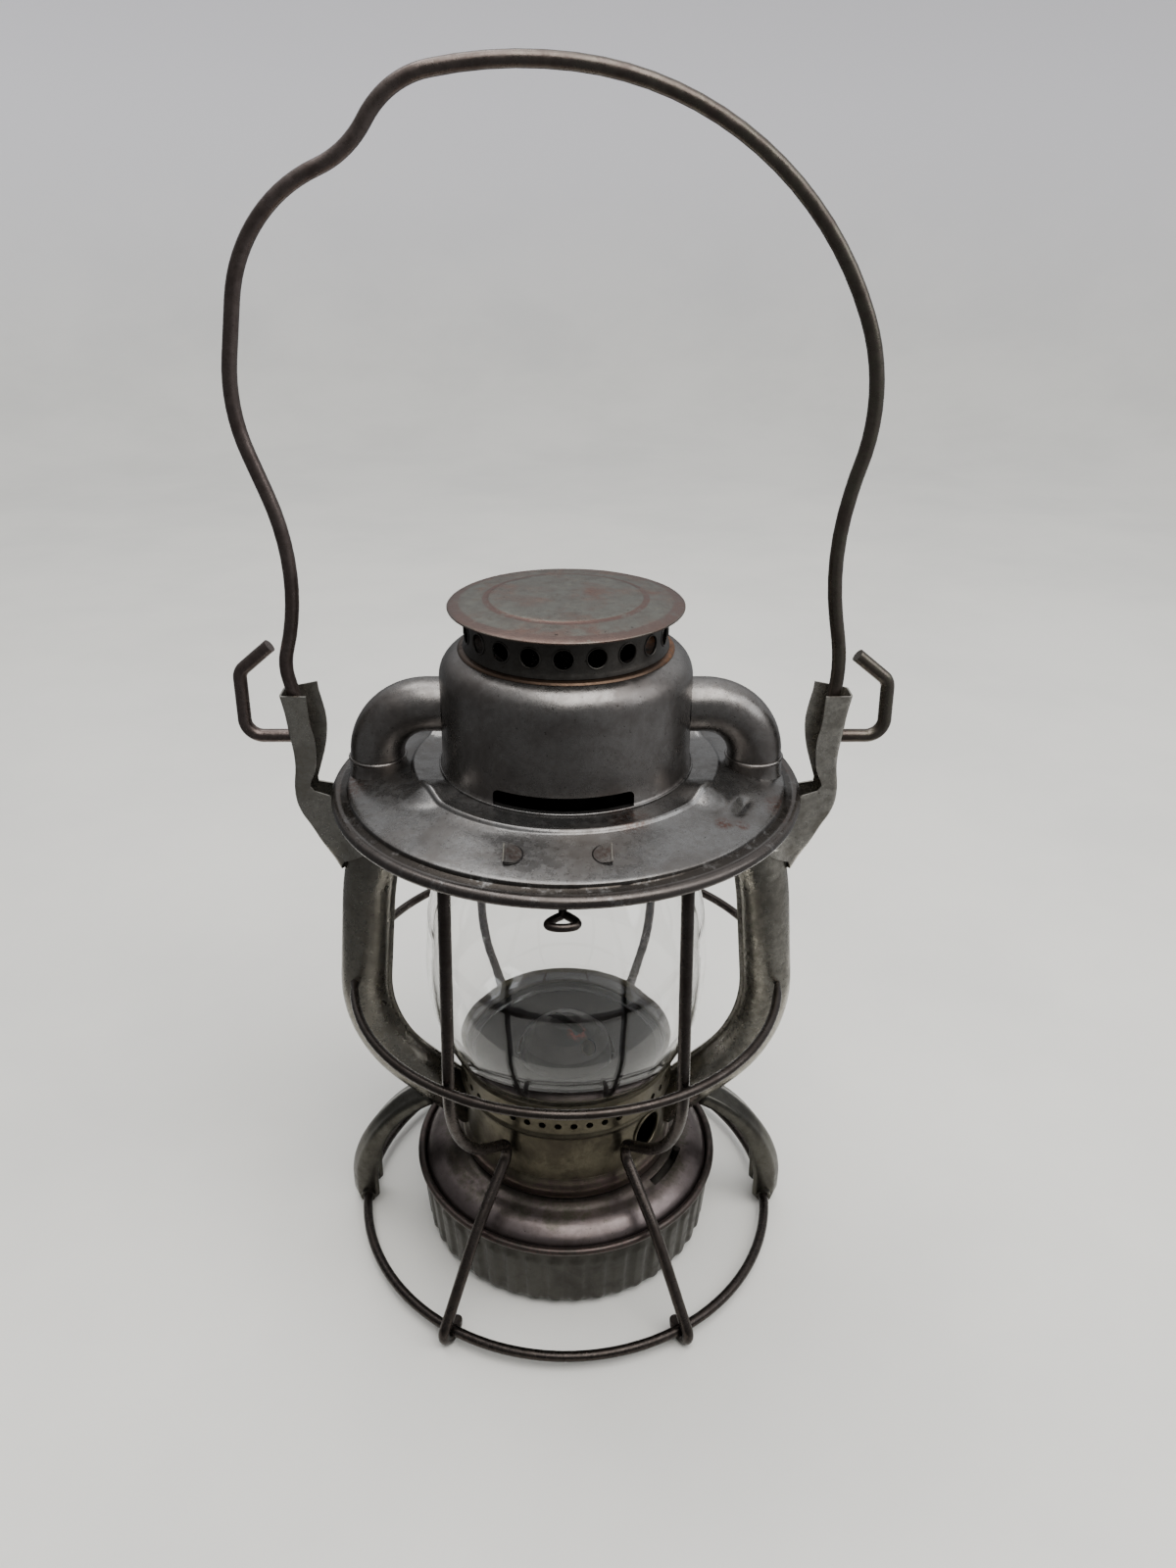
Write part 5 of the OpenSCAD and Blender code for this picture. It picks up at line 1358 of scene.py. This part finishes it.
@dataclass
class Fount(Assembly):
    """The fluted fount, with the burner's CAD pieces finished in place."""

    bead: float = 59.0
    bead_height: float = 31.9
    flutes: int = 44
    swell: float = 0.9

    def build(self) -> None:
        """Makes the fluted shell and finishes the burner."""
        line = arc_line((self.bead, self.bead_height), 1.5, 200, -70, 16)
        line += [(58.25, 30.0), (58.2, 29.2)]
        line += [(58.2 - 0.079 * i, 28.4 - i) for i in range(24)]
        line += smooth_line([(56.3, 4.1), (55.9, 3.0), (55.2, 2.4), (54.2, 2.25), (51.4, 2.25), (50.2, 2.7), (49.0, 3.4), (0, 3.4)], 3)
        shell = Form().spun(sheet_outline(line, 0.6), self.flutes * 12).reshaped(self._fluted).worn(0.1)
        self.dress(shell.made("fluted_shell", 50), "fount tin", Body.FOUNT, "fount_tin", ["fount_shell"])
        for node, finish in (
            ("fount_top", "dark tin"), ("filler_neck", "old brass"), ("filler_cap", "old brass"),
            ("burner_gallery", "old brass"), ("burner_cone", "soot tin"), ("wick_tube", "old brass"),
            ("wick", "wick cotton"), ("wick_shaft", "old brass"),
        ):
            self.finishes.on_node(node, finish)

    def _fluted(self, p: Vector) -> Vector:
        """Swells one point of the wall where a flute stands proud."""
        radius = math.hypot(p.x, p.y)
        if radius < 52 or p.z > 29.0:
            return p
        pitch = math.tau * radius / self.flutes
        share = (math.atan2(p.y, p.x) * self.flutes / math.tau) % 1 - 0.5
        across = share * pitch
        beyond = max(p.z - 24.2, 5.6 - p.z, 0.0)
        away = math.hypot(across, beyond)
        push = self.swell * (1 - smoothstep(1.6, 3.5, away))
        return Vector((p.x * (1 + push / radius), p.y * (1 + push / radius), p.z))


@dataclass
class Studio:
    """The camera, the lights and the pale floor."""

    eye: tuple[float, float, float] = (0.0, -0.3688, 0.3796)
    pitch: float = 26.6
    lens: float = 27.0
    shift: float = 22.5 / 1600

    def build(self) -> None:
        """Sets the studio up."""
        self._camera()
        self._floor()
        self._sky()
        self._lamp("key", (0.30, -0.60, 1.65), (0, 0, 0.15), 1.3, 26.0, (1.0, 0.99, 0.97))
        self._lamp("fill", (1.2, -0.3, 1.0), (0, 0, 0.15), 0.9, 7.0, (0.95, 0.97, 1.0))
        self._lamp("back", (-0.35, 0.40, 1.75), (0, 0, 0.2), 0.9, 9.0, (1.0, 1.0, 1.0))

    def _sky(self) -> None:
        """Surrounds the lantern with soft light: bright above, dim at the sides, dark in front."""
        world = bpy.data.worlds.new("studio")
        bpy.context.scene.world = world
        world.use_nodes = True
        tree = world.node_tree
        place = tree.nodes.new("ShaderNodeTexCoord")
        split = tree.nodes.new("ShaderNodeSeparateXYZ")
        tree.links.new(place.outputs["Generated"], split.inputs["Vector"])
        above = mapped(tree, split.outputs["Z"], 0.40, 1.0, 0.0, 0.76)
        right = mapped(tree, split.outputs["X"], 0.0, 1.0, 0.0, 0.28)
        rear = mapped(tree, split.outputs["Y"], 0.1, 0.75, 0.0, 0.44)
        raised = mapped(tree, split.outputs["Z"], 0.05, 0.35)
        total = joined(tree, "ADD", joined(tree, "ADD", above, right), joined(tree, "MULTIPLY", rear, raised))
        sky = tree.nodes["Background"]
        sky.inputs["Color"].default_value = (0.95, 0.97, 1.0, 1)
        tree.links.new(joined(tree, "ADD", total, 0.17), sky.inputs["Strength"])

    def _camera(self) -> None:
        """Places the camera as the photograph was taken."""
        data = bpy.data.cameras.new("camera")
        data.lens = self.lens
        data.sensor_width = 36
        data.shift_x = self.shift
        data.clip_start = 0.01
        camera = bpy.data.objects.new("camera", data)
        camera.location = self.eye
        camera.rotation_euler = (math.radians(90 - self.pitch), 0, 0)
        bpy.context.scene.collection.objects.link(camera)
        bpy.context.scene.camera = camera

    def _floor(self) -> None:
        """Lays a pale floor that rises into a pale wall all round."""
        near = Form()
        bmesh.ops.create_circle(near.bm, cap_ends=True, segments=96, radius=250, matrix=Matrix.Translation((0, 110, 0)))
        line = [(40, -0.02), (800, -0.02), (1500, -0.02)] + arc_line((1500, 900), 900, -84, 0, 16) + [(2400, 3200)]
        far = Form().spun(sheet_outline(line, 20), 96)
        material = bpy.data.materials.new("pale floor")
        material.use_nodes = True
        tree = material.node_tree
        shader = tree.nodes["Principled BSDF"]
        shade = mapped(tree, noise_at(tree, 5.0, 6.0, 0.6), 0.3, 0.75)
        floor = tinted(tree, shade, (0.82, 0.80, 0.745), (0.74, 0.725, 0.68))
        place = tree.nodes.new("ShaderNodeTexCoord")
        split = tree.nodes.new("ShaderNodeSeparateXYZ")
        tree.links.new(place.outputs["Object"], split.inputs["Vector"])
        wall = mapped(tree, split.outputs["Z"], 0.0, 0.6)
        tree.links.new(tinted(tree, wall, floor, (0.80, 0.785, 0.805)), shader.inputs["Base Color"])
        tree.links.new(tinted(tree, wall, (0.0, 0.0, 0.0), (0.20, 0.195, 0.205)), shader.inputs["Emission Color"])
        shader.inputs["Emission Strength"].default_value = 1.0
        shader.inputs["Roughness"].default_value = 0.62
        for name, form in (("studio_floor", near), ("studio_surround", far)):
            piece = form.made(name, 80)
            piece.data.materials.append(material)
        piece.visible_glossy = False
        piece.visible_diffuse = False
        piece.visible_shadow = False

    def _lamp(self, name: str, place: tuple[float, float, float], target: tuple[float, float, float],
              size: float, power: float, colour: tuple[float, float, float]) -> None:
        """Hangs one soft lamp that faces a target."""
        data = bpy.data.lights.new(name, "AREA")
        data.energy = power
        data.size = size
        data.color = colour
        lamp = bpy.data.objects.new(name, data)
        lamp.location = place
        lamp.rotation_euler = (Vector(target) - Vector(place)).to_track_quat("-Z", "Y").to_euler()
        bpy.context.scene.collection.objects.link(lamp)


def main() -> None:
    """Builds the studio and the lantern."""
    logging.basicConfig(level=logging.INFO, format="%(name)s: %(message)s")
    Studio().build()
    finishes = Finishes()
    finishes.build()
    total = 0
    for kind in (WireGuard, SideWorks, Base, Globe, Hood, Latch, Bail, Fount):
        assembly = kind(finishes)
        assembly.build()
        total += assembly.count
    LOG.info("%d pieces made", total)


if __name__ == "__main__":
    main()
